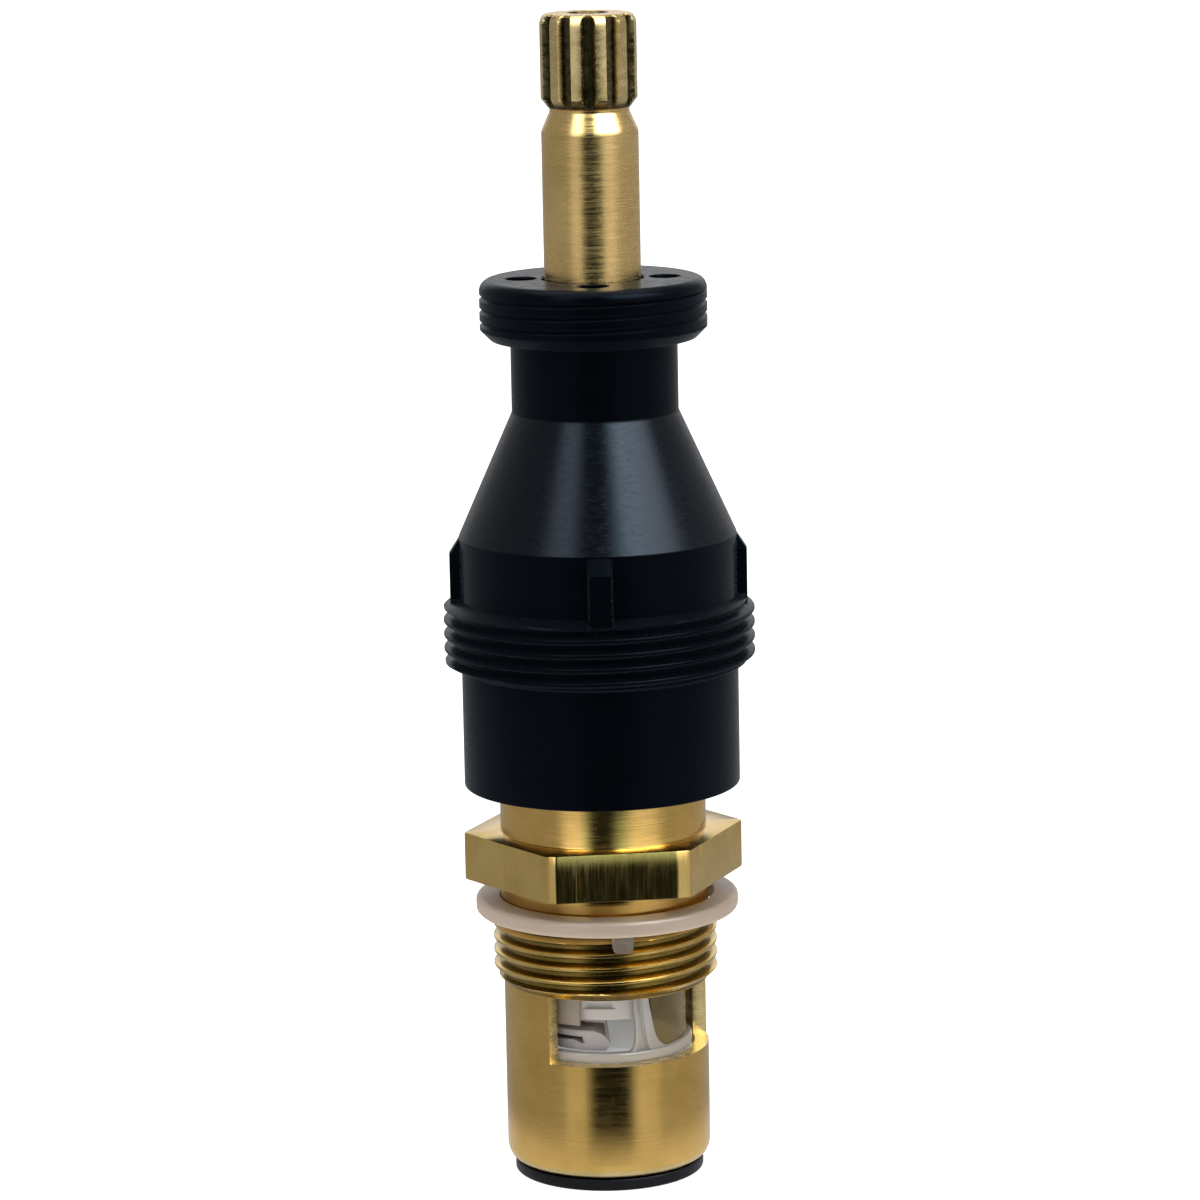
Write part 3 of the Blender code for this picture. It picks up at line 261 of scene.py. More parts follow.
FLANGE_UNDERCUT_HEIGHT = 1.1
SLEEVE_BORE = 10.95
SLEEVE_LEDGE = 52.3
CAVITY_RADIUS = 9.4
CONE_WALL = 2.6
NECK_BORE = 6.3
GUIDE_LOW = 84.6
GUIDE_BORE = 5.23
SLEEVE_SHARP_ANGLE = math.radians(30)
RIBS = 4
RIB_TURN = math.radians(0.6)
RIB_RADIUS = 15.28
RIB_WIDTH = 2.6
RIB_LOW = 59.6
RIB_HIGH = 67.1
RIB_CHAMFER = 1.6
RIB_STEP = 0.1
RIB_START = 0.05
RIB_MIDDLE_ROWS = (62.0, 61.0)
RIB_TAPER = 0.18
RIB_FOOT_TURN = math.asin(RIB_WIDTH / 2 / SKIRT_RADIUS)
RIB_CREST_TURN = math.asin((RIB_WIDTH / 2 - RIB_TAPER) / RIB_RADIUS)
RIB_CREST_SHARES = (0.8, 0.97)
SPANNER_HOLES = 4
SPANNER_HOLE_RADIUS = 1.58
SPANNER_HOLE_CIRCLE = 7.3
SPANNER_HOLE_DEPTH = 4.5
HOLE_EDGE = 0.15
HOLE_FLARE = 0.12
HOLE_TAPER = 0.05

# Camera of the photograph, aimed at the height of the photograph's middle
LENS = 150.0
SENSOR = 36.0
AIM_HEIGHT = 60.23
AIM_SIDE = 0.11
CAMERA_DISTANCE = 514.0
CAMERA_ELEVATION = math.radians(10.8)
CAMERA_ROLL = math.radians(-1.11)
CLIP_START = 0.01
CLIP_END = 30.0

# Light. Reflections see the surround, which grows from left to right, and the soft boxes. Matt
# surfaces see a plain light, which grows with the elevation
SURROUND_AZIMUTHS = (-60, 60)
SURROUND_LEVELS = (0.33, 0.38)
PLAIN_ELEVATIONS = (-40, 60)
PLAIN_LEVELS = (0.55, 0.85)

# Floor, and the small floor that reflections see in its place: darker and without the glow, a painted shade
FLOOR_RADIUS = 6000.0
FLOOR_GLOW = 0.75
NEAR_FLOOR_RADIUS = 44.0
NEAR_FLOOR_DROP = 0.02
NEAR_FLOOR_FADE = (14.0, 34.0)
FLOOR_SHADE = 0.9
NEAR_FLOOR_SHADE = 0.55
FLOOR_GRAIN = (0.02,) * 3
FLOOR_ROUGHNESS = 0.9
FLOOR_VARIATION = 0.02

# Patches of the surround: left and right azimuth, low and high elevation, softness at the sides and
# strength. Azimuths run from the camera's side towards +X, and all but the strength are in degrees
EDGE_SOFTNESS = 7
CAMERA_GAP = (-20, 27, -80, 50, 8, 0.97)
GAP_TINT = (0.75, 1.0, 0.95)
SOFT_BOXES = (
    (-50, -25, -60, 2, 6, 0.20),
    (32, 60, -60, 2, 8, 0.22),
    (-45, -17, 5, 24, 8, 1.7),
    (15, 68, 5, 24, 9, 1.6),
    (-48, -21, 29, 62, 7, 4.0),
    (20, 80, 29, 62, 8, 10.5),
    (150, 200, 4, 30, 10, 0.6),
    (-200, -150, 4, 30, 10, 0.6),
    (-200, 200, 57, 110, 10, 3.5),
)

# Brass: scales of its noises, and how they shape the tone, stains, painted shade in recesses, gloss and
# bumps
COARSE_DIVISOR = 6
BRASS_CLOUD = (0.16,) * 3
BRASS_FLECK = (1.7,) * 3
TONE_SHARES = (0.7, 0.3)
TONE_RANGE = (0.36, 0.62)
STAIN_RANGE = (0.60, 0.74)
STAIN = 0.35
MARK_RANGE = (0.3, 0.7)
BRASS_GLOSS_SPREAD = (-0.06, 0.08)
RECESS_SHADE_RANGE = (0.35, 0.6)
RECESS_SHADE_PATCHES = (1.0, 0.9)
RECESS_SHADE_ROUGHNESS = 0.08
COARSE_BUMP = 4
FLECK_BUMP = 0.8
FLECK_STRENGTH = 0.15

# Plastic, rubber and ceramic: the same for their noises
PLASTIC_CLOUD = (0.12,) * 3
PLASTIC_GRAIN = (6.0,) * 3
PLASTIC_SCUFF = (0.9, 0.9, 3.5)
CLOUD_RANGE = (0.35, 0.65)
SCUFF_RANGE = (0.35, 0.75)
PLASTIC_GLOSS_SPREAD = (-0.04, 0.08)
GRAIN_GLOSS_SPREAD = (-0.02, 0.02)
SCUFF_BUMP = 2
SCUFF_STRENGTH = 0.5
PAINTED_SHEEN_ROUGHNESS = 0.6
SUBSURFACE_RADIUS = (1.0, 0.8, 0.6)
BLACK = (0.0004, 0.0006, 0.0014)


def spot(angle, radius, height):
    """Point in metres at an angle from the front, a radius and a height."""
    return Vector((radius * math.sin(angle), -radius * math.cos(angle), height)) * MM


def wrapped(value, period=FULL_TURN):
    """Value moved by whole periods to within half a period of zero."""
    return (value + period / 2) % period - period / 2


def column_angles(count, special=()):
    """Even angles round the axis, with special ones in the place of those close to them."""
    step = FULL_TURN / count
    wanted = [angle % FULL_TURN for angle in special]
    kept = [step * index for index in range(count)
            if all(abs(wrapped(step * index - other)) > step / 3 for other in wanted)]
    return sorted(kept + wanted)


def rounded(corners, steps=FILLET_STEPS):
    """Profile through (radius, height, fillet) corners, with an arc at each fillet above zero."""
    points = []
    for index, (x, y, fillet) in enumerate(corners):
        if fillet == 0 or index in (0, len(corners) - 1):
            points.append((x, y))
            continue
        here = Vector((x, y))
        back = (Vector(corners[index - 1][:2]) - here).normalized()
        ahead = (Vector(corners[index + 1][:2]) - here).normalized()
        half = back.angle(ahead) / 2
        reach = fillet / math.tan(half)
        centre = here + (back + ahead).normalized() * fillet / math.sin(half)
        start = here + back * reach - centre
        end = here + ahead * reach - centre
        turn = start.angle_signed(end)
        for step in range(steps + 1):
            arm = start.copy()
            arm.rotate(Matrix.Rotation(-turn * step / steps, 2))
            points.append(tuple(centre + arm))
    return points


def ring(angles, radius, height):
    """Row of points at one radius and height."""
    return [spot(angle, radius, height) for angle in angles]


def rings(angles, profile):
    """Rows of points along a profile."""
    return [ring(angles, radius, height) for radius, height in profile]


def thread_radius(thread, rise, base):
    """Radius of a thread at a rise above a crest's middle, with soft crests and roots."""
    share = abs(wrapped(rise / thread["pitch"], 1)) * 2
    top, bottom = thread["shares"]
    wave = min(1.0, max(0.0, (bottom - share) / (bottom - top)))
    wave = wave * wave * (3 - 2 * wave)
    return base + (thread["crest"] - base) * wave


def thread_rows(angles, thread, low_radius, high_radius):
    """Rows that follow a right-hand thread and close on a plain ring at either end.

    The thread's lead is how far its radius grows per millimetre away from those rings.
    """
    pitch = thread["pitch"]
    lead = thread["lead"]
    root = thread["crest"] - thread["depth"]
    steps = int((thread["high"] - thread["low"] + pitch) / pitch * THREAD_STEPS) + 1
    rows = []
    for step in range(steps + 1):
        level = thread["high"] - pitch * step / THREAD_STEPS
        full = thread_radius(thread, level - thread["phase"], root)
        row = []
        for angle in angles:
            height = min(max(level + pitch * angle / FULL_TURN, thread["low"]), thread["high"])
            radius = min(full, low_radius + (height - thread["low"]) * lead,
                         high_radius + (thread["high"] - height) * lead)
            row.append(spot(angle, radius, height))
        rows.append(row)
    return rows


def placed(name, data):
    """New object in the scene."""
    made = bpy.data.objects.new(name, data)
    bpy.context.scene.collection.objects.link(made)
    return made


def mesh_object(name, work, materials, body, replaced=(), sharp=SHARP_ANGLE):
    """Finished piece from a bmesh: welded, with outward faces and smooth shading."""
    bmesh.ops.remove_doubles(work, verts=work.verts, dist=MERGE * MM)
    bmesh.ops.dissolve_degenerate(work, edges=work.edges, dist=MERGE * MM)
    bmesh.ops.recalc_face_normals(work, faces=work.faces)
    mesh = bpy.data.meshes.new(name)
    work.to_mesh(mesh)
    work.free()
    for material in materials:
        mesh.materials.append(material)
    mesh.shade_smooth()
    mesh.set_sharp_from_angle(angle=sharp)
    piece = placed(name, mesh)
    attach(piece, body)
    if replaced:
        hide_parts(*replaced)


def skin(work, rows, closed, threads=(), skip=None):
    """Add quads between rows of points that run round the axis, and return the vertices by row.

    A thread is a (first row, last row) pair: its rows climb by a pitch in a turn, so each one closes
    on the row that lies a pitch higher.
    """
    grid = [[work.verts.new(point) for point in row] for row in rows]
    count = len(rows[0])
    closing = list(range(len(rows)))
    for first, last in threads:
        for index in range(first, last + 1):
            closing[index] = max(first, index - THREAD_STEPS)
    pairs = list(zip(range(len(rows)), range(1, len(rows))))
    if closed:
        pairs.append((len(rows) - 1, 0))
    for upper, lower in pairs:
        for column in range(count):
            if skip and skip(upper, column):
                continue
            if column + 1 < count:
                ahead = (grid[lower][column + 1], grid[upper][column + 1])
            else:
                ahead = (grid[closing[lower]][0], grid[closing[upper]][0])
            corners = (grid[upper][column], grid[lower][column], *ahead)
            if len(set(corners)) == 4:
                work.faces.new(corners)
            elif len(set(corners)) == 3:
                work.faces.new(list(dict.fromkeys(corners)))
    return grid


def join_loops(work, first, second):
    """Quads between two closed loops of equally many vertices."""
    for index in range(len(first)):
        beyond = (index + 1) % len(first)
        work.faces.new((first[index], first[beyond], second[beyond], second[index]))


def stack(work, layers):
    """Closed solid through outlines of equally many points, laid in order."""
    grid = [[work.verts.new(point) for point in layer] for layer in layers]
    for lower, upper in zip(grid, grid[1:]):
        join_loops(work, lower, upper)
    work.faces.new(list(reversed(grid[0])))
    work.faces.new(grid[-1])


# Node helpers

def shader_tree(name):
    """New material with its node tree and its Principled shader."""
    material = bpy.data.materials.new(name)
    material.use_nodes = True
    tree = material.node_tree
    return material, tree, tree.nodes["Principled BSDF"]


def fill(tree, node, inputs):
    """Set a node's inputs, each to a value or to another node's output."""
    for key, value in inputs.items():
        if isinstance(value, bpy.types.NodeSocket):
            tree.links.new(value, node.inputs[key])
        else:
            node.inputs[key].default_value = value


def add(tree, kind, inputs=None, **settings):
    """New node with its settings and inputs."""
    made = tree.nodes.new(kind)
    for key, value in settings.items():
        setattr(made, key, value)
    fill(tree, made, inputs or {})
    return made


def math_node(tree, operation, *values):
    """Output of a Math node."""
    return add(tree, "ShaderNodeMath", dict(enumerate(values)), operation=operation).outputs[0]


def times(tree, first, second):
    """Product of two values."""
    return math_node(tree, 'MULTIPLY', first, second)


def stretched(tree, scale):
    """Object coordinates in millimetres, scaled along each axis."""
    place = add(tree, "ShaderNodeTexCoord").outputs["Object"]
    factor = tuple(value / MM for value in scale)
    return add(tree, "ShaderNodeVectorMath", {0: place, 1: factor}, operation='MULTIPLY').outputs[0]


def from_axis(tree):
    """Distance from the axis in millimetres."""
    return add(tree, "ShaderNodeVectorMath", {0: stretched(tree, (1.0, 1.0, 0.0))},
               operation='LENGTH').outputs["Value"]


def mixed(tree, factor, first, colour):
    """Colour that a factor moves towards a plain colour."""
    return add(tree, "ShaderNodeMix", {0: factor, 6: first, 7: (*colour, 1.0)}, data_type='RGBA').outputs[2]


def noise_value(tree, scale, detail, roughness):
    """Noise between 0 and 1, with a scale per millimetre along each axis."""
    return add(tree, "ShaderNodeTexNoise", {"Vector": stretched(tree, scale), "Scale": 1.0,
                                            "Detail": detail, "Roughness": roughness}).outputs[0]


def ramp(tree, value, stops):
    """Colour ramp output through (place, colour) stops."""
    made = add(tree, "ShaderNodeValToRGB", {0: value})
    points = made.color_ramp.elements
    while len(points) < len(stops):
        points.new(0.5)
    for point, (place, colour) in zip(points, stops):
        point.position = place
        point.color = (*colour, 1.0)
    return made.outputs[0]


def between(tree, value, low, high, out_low, out_high):
    """Smooth change of a value from one range to another."""
    return add(tree, "ShaderNodeMapRange", {0: value, 1: low, 2: high, 3: out_low, 4: out_high},
               interpolation_type='SMOOTHSTEP').outputs[0]


def bumped(tree, height, distance, strength=1.0, below=None):
    """Normal from a height, laid over another normal if there is one."""
    inputs = {"Height": height, "Distance": distance * MM, "Strength": strength}
    if below is not None:
        inputs["Normal"] = below
    return add(tree, "ShaderNodeBump", inputs).outputs[0]


def brass(name, grain, dark, light, rough, line_depth, blotch=0.0, recess_shade=None):
    """Satin brass with tool marks, whose noise has the grain's scale along each axis.

    The last argument is (inner radius, outer radius, share, colour): painted shade in the recesses.
    """
    material, tree, shader = shader_tree(name)
    marks = noise_value(tree, grain, 4.0, 0.65)
    coarse = noise_value(tree, tuple(value / COARSE_DIVISOR for value in grain), 2.0, 0.5)
    cloud = noise_value(tree, BRASS_CLOUD, 3.0, 0.6)
    fleck = noise_value(tree, BRASS_FLECK, 4.0, 0.7)
    tone = math_node(tree, 'ADD', times(tree, cloud, TONE_SHARES[0]),
                     times(tree, marks, TONE_SHARES[1]))
    colour = ramp(tree, tone, list(zip(TONE_RANGE, (dark, light))))
    stains = between(tree, fleck, *STAIN_RANGE, 0.0, blotch)
    colour = mixed(tree, stains, colour, [value * STAIN for value in dark])
    gloss = between(tree, marks, *MARK_RANGE, *(rough + value for value in BRASS_GLOSS_SPREAD))
    # Painted shade: what lies below the outer radius is darkened, in patches, and made a little rougher
    if recess_shade:
        inner, outer, share, shade_colour = recess_shade
        low = between(tree, from_axis(tree), inner, outer, share, 0.0)
        low = times(tree, low, between(tree, fleck, *RECESS_SHADE_RANGE, *RECESS_SHADE_PATCHES))
        colour = mixed(tree, low, colour, shade_colour)
        gloss = math_node(tree, 'ADD', gloss, times(tree, low, RECESS_SHADE_ROUGHNESS))
    normal = bumped(tree, coarse, line_depth * COARSE_BUMP)
    normal = bumped(tree, marks, line_depth, 1.0, normal)
    normal = bumped(tree, fleck, line_depth * FLECK_BUMP, FLECK_STRENGTH, normal)
    fill(tree, shader, {"Base Color": colour, "Roughness": gloss, "Normal": normal, "Metallic": 1.0})
    return material


def plastic(name, colour, rough, grain_depth, tint, transmission=0.0, subsurface=0.0, gloss=0.5,
            glow=0.0, gloss_tint=(1.0, 1.0, 1.0), painted_sheen=0.0):
    """Moulded plastic, rubber or ceramic with a fine grain and uneven gloss, and any glow as painted light.
    """
    material, tree, shader = shader_tree(name)
    cloud = noise_value(tree, PLASTIC_CLOUD, 3.0, 0.6)
    grain = noise_value(tree, PLASTIC_GRAIN, 3.0, 0.6)
    scuff = noise_value(tree, PLASTIC_SCUFF, 5.0, 0.7)
    low = [value * (1 - tint) for value in colour]
    high = [min(1.0, value * (1 + tint)) for value in colour]
    scuffed = between(tree, scuff, *SCUFF_RANGE, *(rough + value for value in PLASTIC_GLOSS_SPREAD))
    grained = between(tree, grain, *MARK_RANGE, *GRAIN_GLOSS_SPREAD)
    normal = bumped(tree, grain, grain_depth)
    fill(tree, shader, {
        "Base Color": ramp(tree, cloud, list(zip(CLOUD_RANGE, (low, high)))),
        "Roughness": math_node(tree, 'ADD', scuffed, grained),
        "Normal": bumped(tree, scuff, grain_depth * SCUFF_BUMP, SCUFF_STRENGTH, normal),
        "Specular IOR Level": gloss, "Specular Tint": (*gloss_tint, 1.0),
        # On the black plastics, the blue gloss tint and the faint sheen are painted reflection at the edges
        "Sheen Weight": painted_sheen, "Sheen Roughness": PAINTED_SHEEN_ROUGHNESS, "Sheen Tint": (*gloss_tint, 1.0),
        "Transmission Weight": transmission,
        "Emission Color": (*colour, 1.0), "Emission Strength": glow})
    if subsurface:
        fill(tree, shader, {"Subsurface Weight": subsurface, "Subsurface Scale": MM,
                            "Subsurface Radius": SUBSURFACE_RADIUS})
    return material


# Pieces

def head_radius(angle, height):
    """Radius of the splined head at an angle and a height: its turned outline less the grooves."""
    drop = HEAD_TOP - height
    outline = HEAD_RADIUS
    if drop < HEAD_TOP_ROUNDING:
        share = 1 - drop / HEAD_TOP_ROUNDING
        bulge = math.sqrt(max(0.0, 1 - share * share))
        outline = HEAD_TOP_RADIUS + (HEAD_RADIUS - HEAD_TOP_RADIUS) * bulge
    elif height < NECK_TOP + HEAD_CONE:
        outline = NECK_RADIUS + (HEAD_RADIUS - NECK_RADIUS) * (height - NECK_TOP) / HEAD_CONE
    side = abs(wrapped(angle, FULL_TURN / SPLINES)) * HEAD_RADIUS
    floor = HEAD_RADIUS - SPLINE_DEPTH
    slope = SPLINE_DEPTH / ((SPLINE_MOUTH - SPLINE_FLOOR) / 2)
    groove = floor + max(0.0, side - SPLINE_FLOOR / 2) * slope
    return min(outline, groove)


def make_stem(material, head_material):
    """Long spindle: splined head with a tapped hole, flared neck, plain stem and socket."""
    angles = column_angles(HEAD_COLUMNS)
    hole_floor = HEAD_TOP - HANDLE_HOLE_DEPTH
    hole_rim = HANDLE_HOLE_RADIUS + HANDLE_HOLE_BEVEL
    rows = rings(angles, [(0.0, hole_floor), (HANDLE_HOLE_RADIUS, hole_floor + HANDLE_HOLE_TIP),
                          (HANDLE_HOLE_RADIUS, HEAD_TOP - HANDLE_HOLE_BEVEL), (hole_rim, HEAD_TOP),
                          (HEAD_TOP_RADIUS, HEAD_TOP)])
    turns = [math.pi / 2 * step / HEAD_ROUNDING_STEPS for step in range(1, HEAD_ROUNDING_STEPS + 1)]
    heights = [HEAD_TOP - HEAD_TOP_ROUNDING * (1 - math.cos(turn)) for turn in turns]
    heights += [HEAD_TOP - HEAD_SIDE_DROP - HEAD_SIDE_STEP * step for step in range(HEAD_SIDE_STEPS)]
    heights += [NECK_TOP + HEAD_CONE * (1 - step / HEAD_CONE_STEPS)
                for step in range(HEAD_CONE_STEPS + 1)]
    rows += [[spot(angle, head_radius(angle, height), height) for angle in angles] for height in heights]
    lower = rounded([(NECK_RADIUS, NECK_TOP, 0.0), (NECK_RADIUS, NECK_TOP - NECK_STEP, SMALL_FILLET),
                     (STEM_RADIUS, NECK_TOP - NECK_LENGTH, NECK_FILLET),
                     (STEM_RADIUS, STEM_BOTTOM + STEM_EDGE, 0.0)])
    rows += rings(angles, lower[1:])
    socket_roof = STEM_BOTTOM + SOCKET_DEPTH
    rows += rings(angles, [(STEM_RADIUS - STEM_EDGE, STEM_BOTTOM), (SOCKET_RADIUS, STEM_BOTTOM),
                           (SOCKET_RADIUS, socket_roof), (0.0, socket_roof)])
    work = bmesh.new()
    skin(work, rows, False)
    for face in work.faces:
        middle = face.calc_center_median() / MM
        # The splined sides and the tapped hole take the head finish, with painted shade; the flat top takes
        # the stem finish
        shaded_head = middle.z < HEAD_TOP - TOP_FACE_DEPTH or middle.xy.length < hole_rim
        face.material_index = 1 if shaded_head and middle.z > NECK_TOP + MARGIN else 0
    mesh_object("spindle_stem", work, [material, head_material], "spindle",
                ["extension_spindle"], HEAD_SHARP_ANGLE)


def hex_corner(half):
    """Distance to the middle of a corner's arc, and the turn from a flat's middle to that arc."""
    arm = (half - HEX_ROUNDING) / math.cos(HEX_HALF_ANGLE)
    return arm, math.atan(arm / 2 / half)


def hex_radius(angle, inset):
    """Radius of the hexagon's rounded outline at an angle, moved in by an inset."""
    half = HEX_FLATS / 2 - inset
    arm, flat_end = hex_corner(half)
    turn = wrapped(angle - HEX_TURN, 2 * HEX_HALF_ANGLE)
    off = abs(turn)
    across = half * math.tan(turn)
    step = HEX_STEP_DEPTH if across < HEX_STEP_PLACE else 0.0
    relief = max(0.0, (across - HEX_STRIP_RIGHT) * HEX_STRIP_RIGHT_SLOPE,
                 (HEX_STRIP_LEFT - across) * HEX_STRIP_LEFT_SLOPE)
    if abs(wrapped(angle - HEX_TURN)) > HEX_HALF_ANGLE:
        relief = 0.0
    flat = (half - step - relief) / math.cos(off)
    if off < flat_end:
        return flat
    beta = HEX_HALF_ANGLE - off
    return min(flat, arm * math.cos(beta) + math.sqrt(HEX_ROUNDING ** 2 - (arm * math.sin(beta)) ** 2))


def hex_columns():
    """Angles that give the hexagon's rounded corners and flats their shape."""
    half = HEX_FLATS / 2
    reach = HEX_HALF_ANGLE - hex_corner(half)[1]
    places = (HEX_STRIP_LEFT, HEX_STEP_PLACE - HEX_STEP_HALF, HEX_STEP_PLACE + HEX_STEP_HALF,
              HEX_STRIP_RIGHT)
    found = []
    for side in range(HEX_SIDES):
        middle = HEX_TURN + math.radians(360 * side / HEX_SIDES)
        found += [middle + HEX_HALF_ANGLE + reach * share for share in HEX_CORNER_SHARES]
        found += [middle + math.atan(place / half) for place in places]
    return found


def make_body(turned_finish, milled_finish, thread_finish, inner_finish):
    """Brass body: spigot, hexagon, relief neck, true thread and barrel with a side window."""
    angles = column_angles(COLUMNS, hex_columns() + [WINDOW_START, WINDOW_END])
    rows = rings(angles, rounded([
        (SPINDLE_BORE, BODY_TOP - SPINDLE_BORE_EDGE, 0.0),
        (SPINDLE_BORE + SPINDLE_BORE_EDGE, BODY_TOP, 0.0), (SPIGOT_RADIUS, BODY_TOP, SPIGOT_FILLET),
        (SPIGOT_RADIUS, GRIP_GROOVE["high"], FINE_FILLET),
        (GRIP_GROOVE["radius"], GRIP_GROOVE["high"], SMALL_FILLET),
        (GRIP_GROOVE["radius"], GRIP_GROOVE["low"], SMALL_FILLET),
        (SPIGOT_RADIUS, GRIP_GROOVE["low"], FINE_FILLET), (SPIGOT_RADIUS, HEX_HIGH + SPIGOT_FOOT, 0.0)]))
    rows += rings(angles, [(SPIGOT_RADIUS + SPIGOT_FOOT_MIDDLE, HEX_HIGH + SPIGOT_FOOT_MIDDLE),
                           (SPIGOT_RADIUS + SPIGOT_FOOT, HEX_HIGH)])
    shallow = HEX_EDGE * HEX_EDGE_MIDDLE
    for inset, height in ((HEX_EDGE, HEX_HIGH), (shallow, HEX_HIGH - shallow), (0.0, HEX_HIGH - HEX_EDGE),
                          (0.0, HEX_LOW + HEX_EDGE), (shallow, HEX_LOW + shallow), (HEX_EDGE, HEX_LOW)):
        rows.append([spot(angle, hex_radius(angle, inset), height) for angle in angles])
    rows += rings(angles, rounded([
        (RELIEF_RADIUS + RELIEF_STEP, HEX_LOW, 0.0), (RELIEF_RADIUS, HEX_LOW, LARGE_FILLET),
        (RELIEF_RADIUS, BODY_THREAD["high"], 0.0)]))
    thread = thread_rows(angles, BODY_THREAD, BARREL_RADIUS, RELIEF_RADIUS)
    threads = [(len(rows), len(rows) + len(thread) - 1)]
    rows += thread
    rows.append(ring(angles, BARREL_RADIUS, WINDOW_HIGH))
    outer_high = len(rows) - 1
    rows.append(ring(angles, BARREL_RADIUS, WINDOW_LOW))
    rows += rings(angles, [(BARREL_RADIUS, WINDOW_LOW - BARREL_END_START), *BARREL_END,
                           (BARREL_BORE + SMALL_FILLET, BODY_BOTTOM),
                           (BARREL_BORE, BODY_BOTTOM + SMALL_FILLET)])
    inner_low = len(rows)
    rows.append(ring(angles, BARREL_BORE, WINDOW_LOW))
    rows.append(ring(angles, BARREL_BORE, WINDOW_HIGH))
    rows += rings(angles, [(BARREL_BORE, BORE_TOP), (SPINDLE_BORE, BORE_TOP)])
    start = angles.index(WINDOW_START % FULL_TURN)
    end = angles.index(WINDOW_END % FULL_TURN)
    count = len(angles)
    window = {(start + step) % count for step in range((end - start) % count)}
    work = bmesh.new()
    grid = skin(work, rows, True, threads,
                lambda row, column: row in (outer_high, inner_low) and column in window)
    outside = grid[outer_high:outer_high + 2]
    inside = [grid[inner_low + 1], grid[inner_low]]
    for outer, inner in zip(outside, inside):
        for column in window:
            beyond = (column + 1) % count
            work.faces.new((outer[column], outer[beyond], inner[beyond], inner[column]))
    for column in (start, end):
        work.faces.new((outside[0][column], outside[1][column], inside[1][column], inside[0][column]))
    loop = [(row[column], row[(column + 1) % count]) for row in outside for column in window]
    loop += [(outside[0][column], outside[1][column]) for column in (start, end)]
    edges = [work.edges.get(pair) for pair in loop]
    for face in work.faces:
        middle = face.calc_center_median() / MM
        off_axis = middle.xy.length
        if HEX_LOW < middle.z < HEX_HIGH:
            face.material_index = 1
        elif BODY_THREAD["low"] < middle.z < BODY_THREAD["high"] and off_axis > BARREL_RADIUS - MARGIN:
            face.material_index = 2
        elif middle.z < BORE_TOP + MARGIN and off_axis < BARREL_RADIUS - 2 * MARGIN:
            face.material_index = 3
    bmesh.ops.bevel(work, geom=edges, offset=WINDOW_EDGE * MM, segments=2, profile=0.5, affect='EDGES')
    mesh_object("body_shell", work, [turned_finish, milled_finish, thread_finish, inner_finish],
                "cartridge", ["cartridge_body"])


def rib_share(angle):
    """1 on a rib, 0 off it, at an angle."""
    off = abs(wrapped(angle - RIB_TURN, FULL_TURN / RIBS))
    return 1 - min(1.0, max(0.0, (off - RIB_CREST_TURN) / (RIB_FOOT_TURN - RIB_CREST_TURN)))


def rib_columns():
    """Angles at the edges of the ribs."""
    edges = [RIB_FOOT_TURN] + [RIB_CREST_TURN * share for share in RIB_CREST_SHARES]
    offsets = [0.0] + edges + [-edge for edge in edges]
    return [RIB_TURN + FULL_TURN * index / RIBS + offset for index in range(RIBS) for offset in offsets]


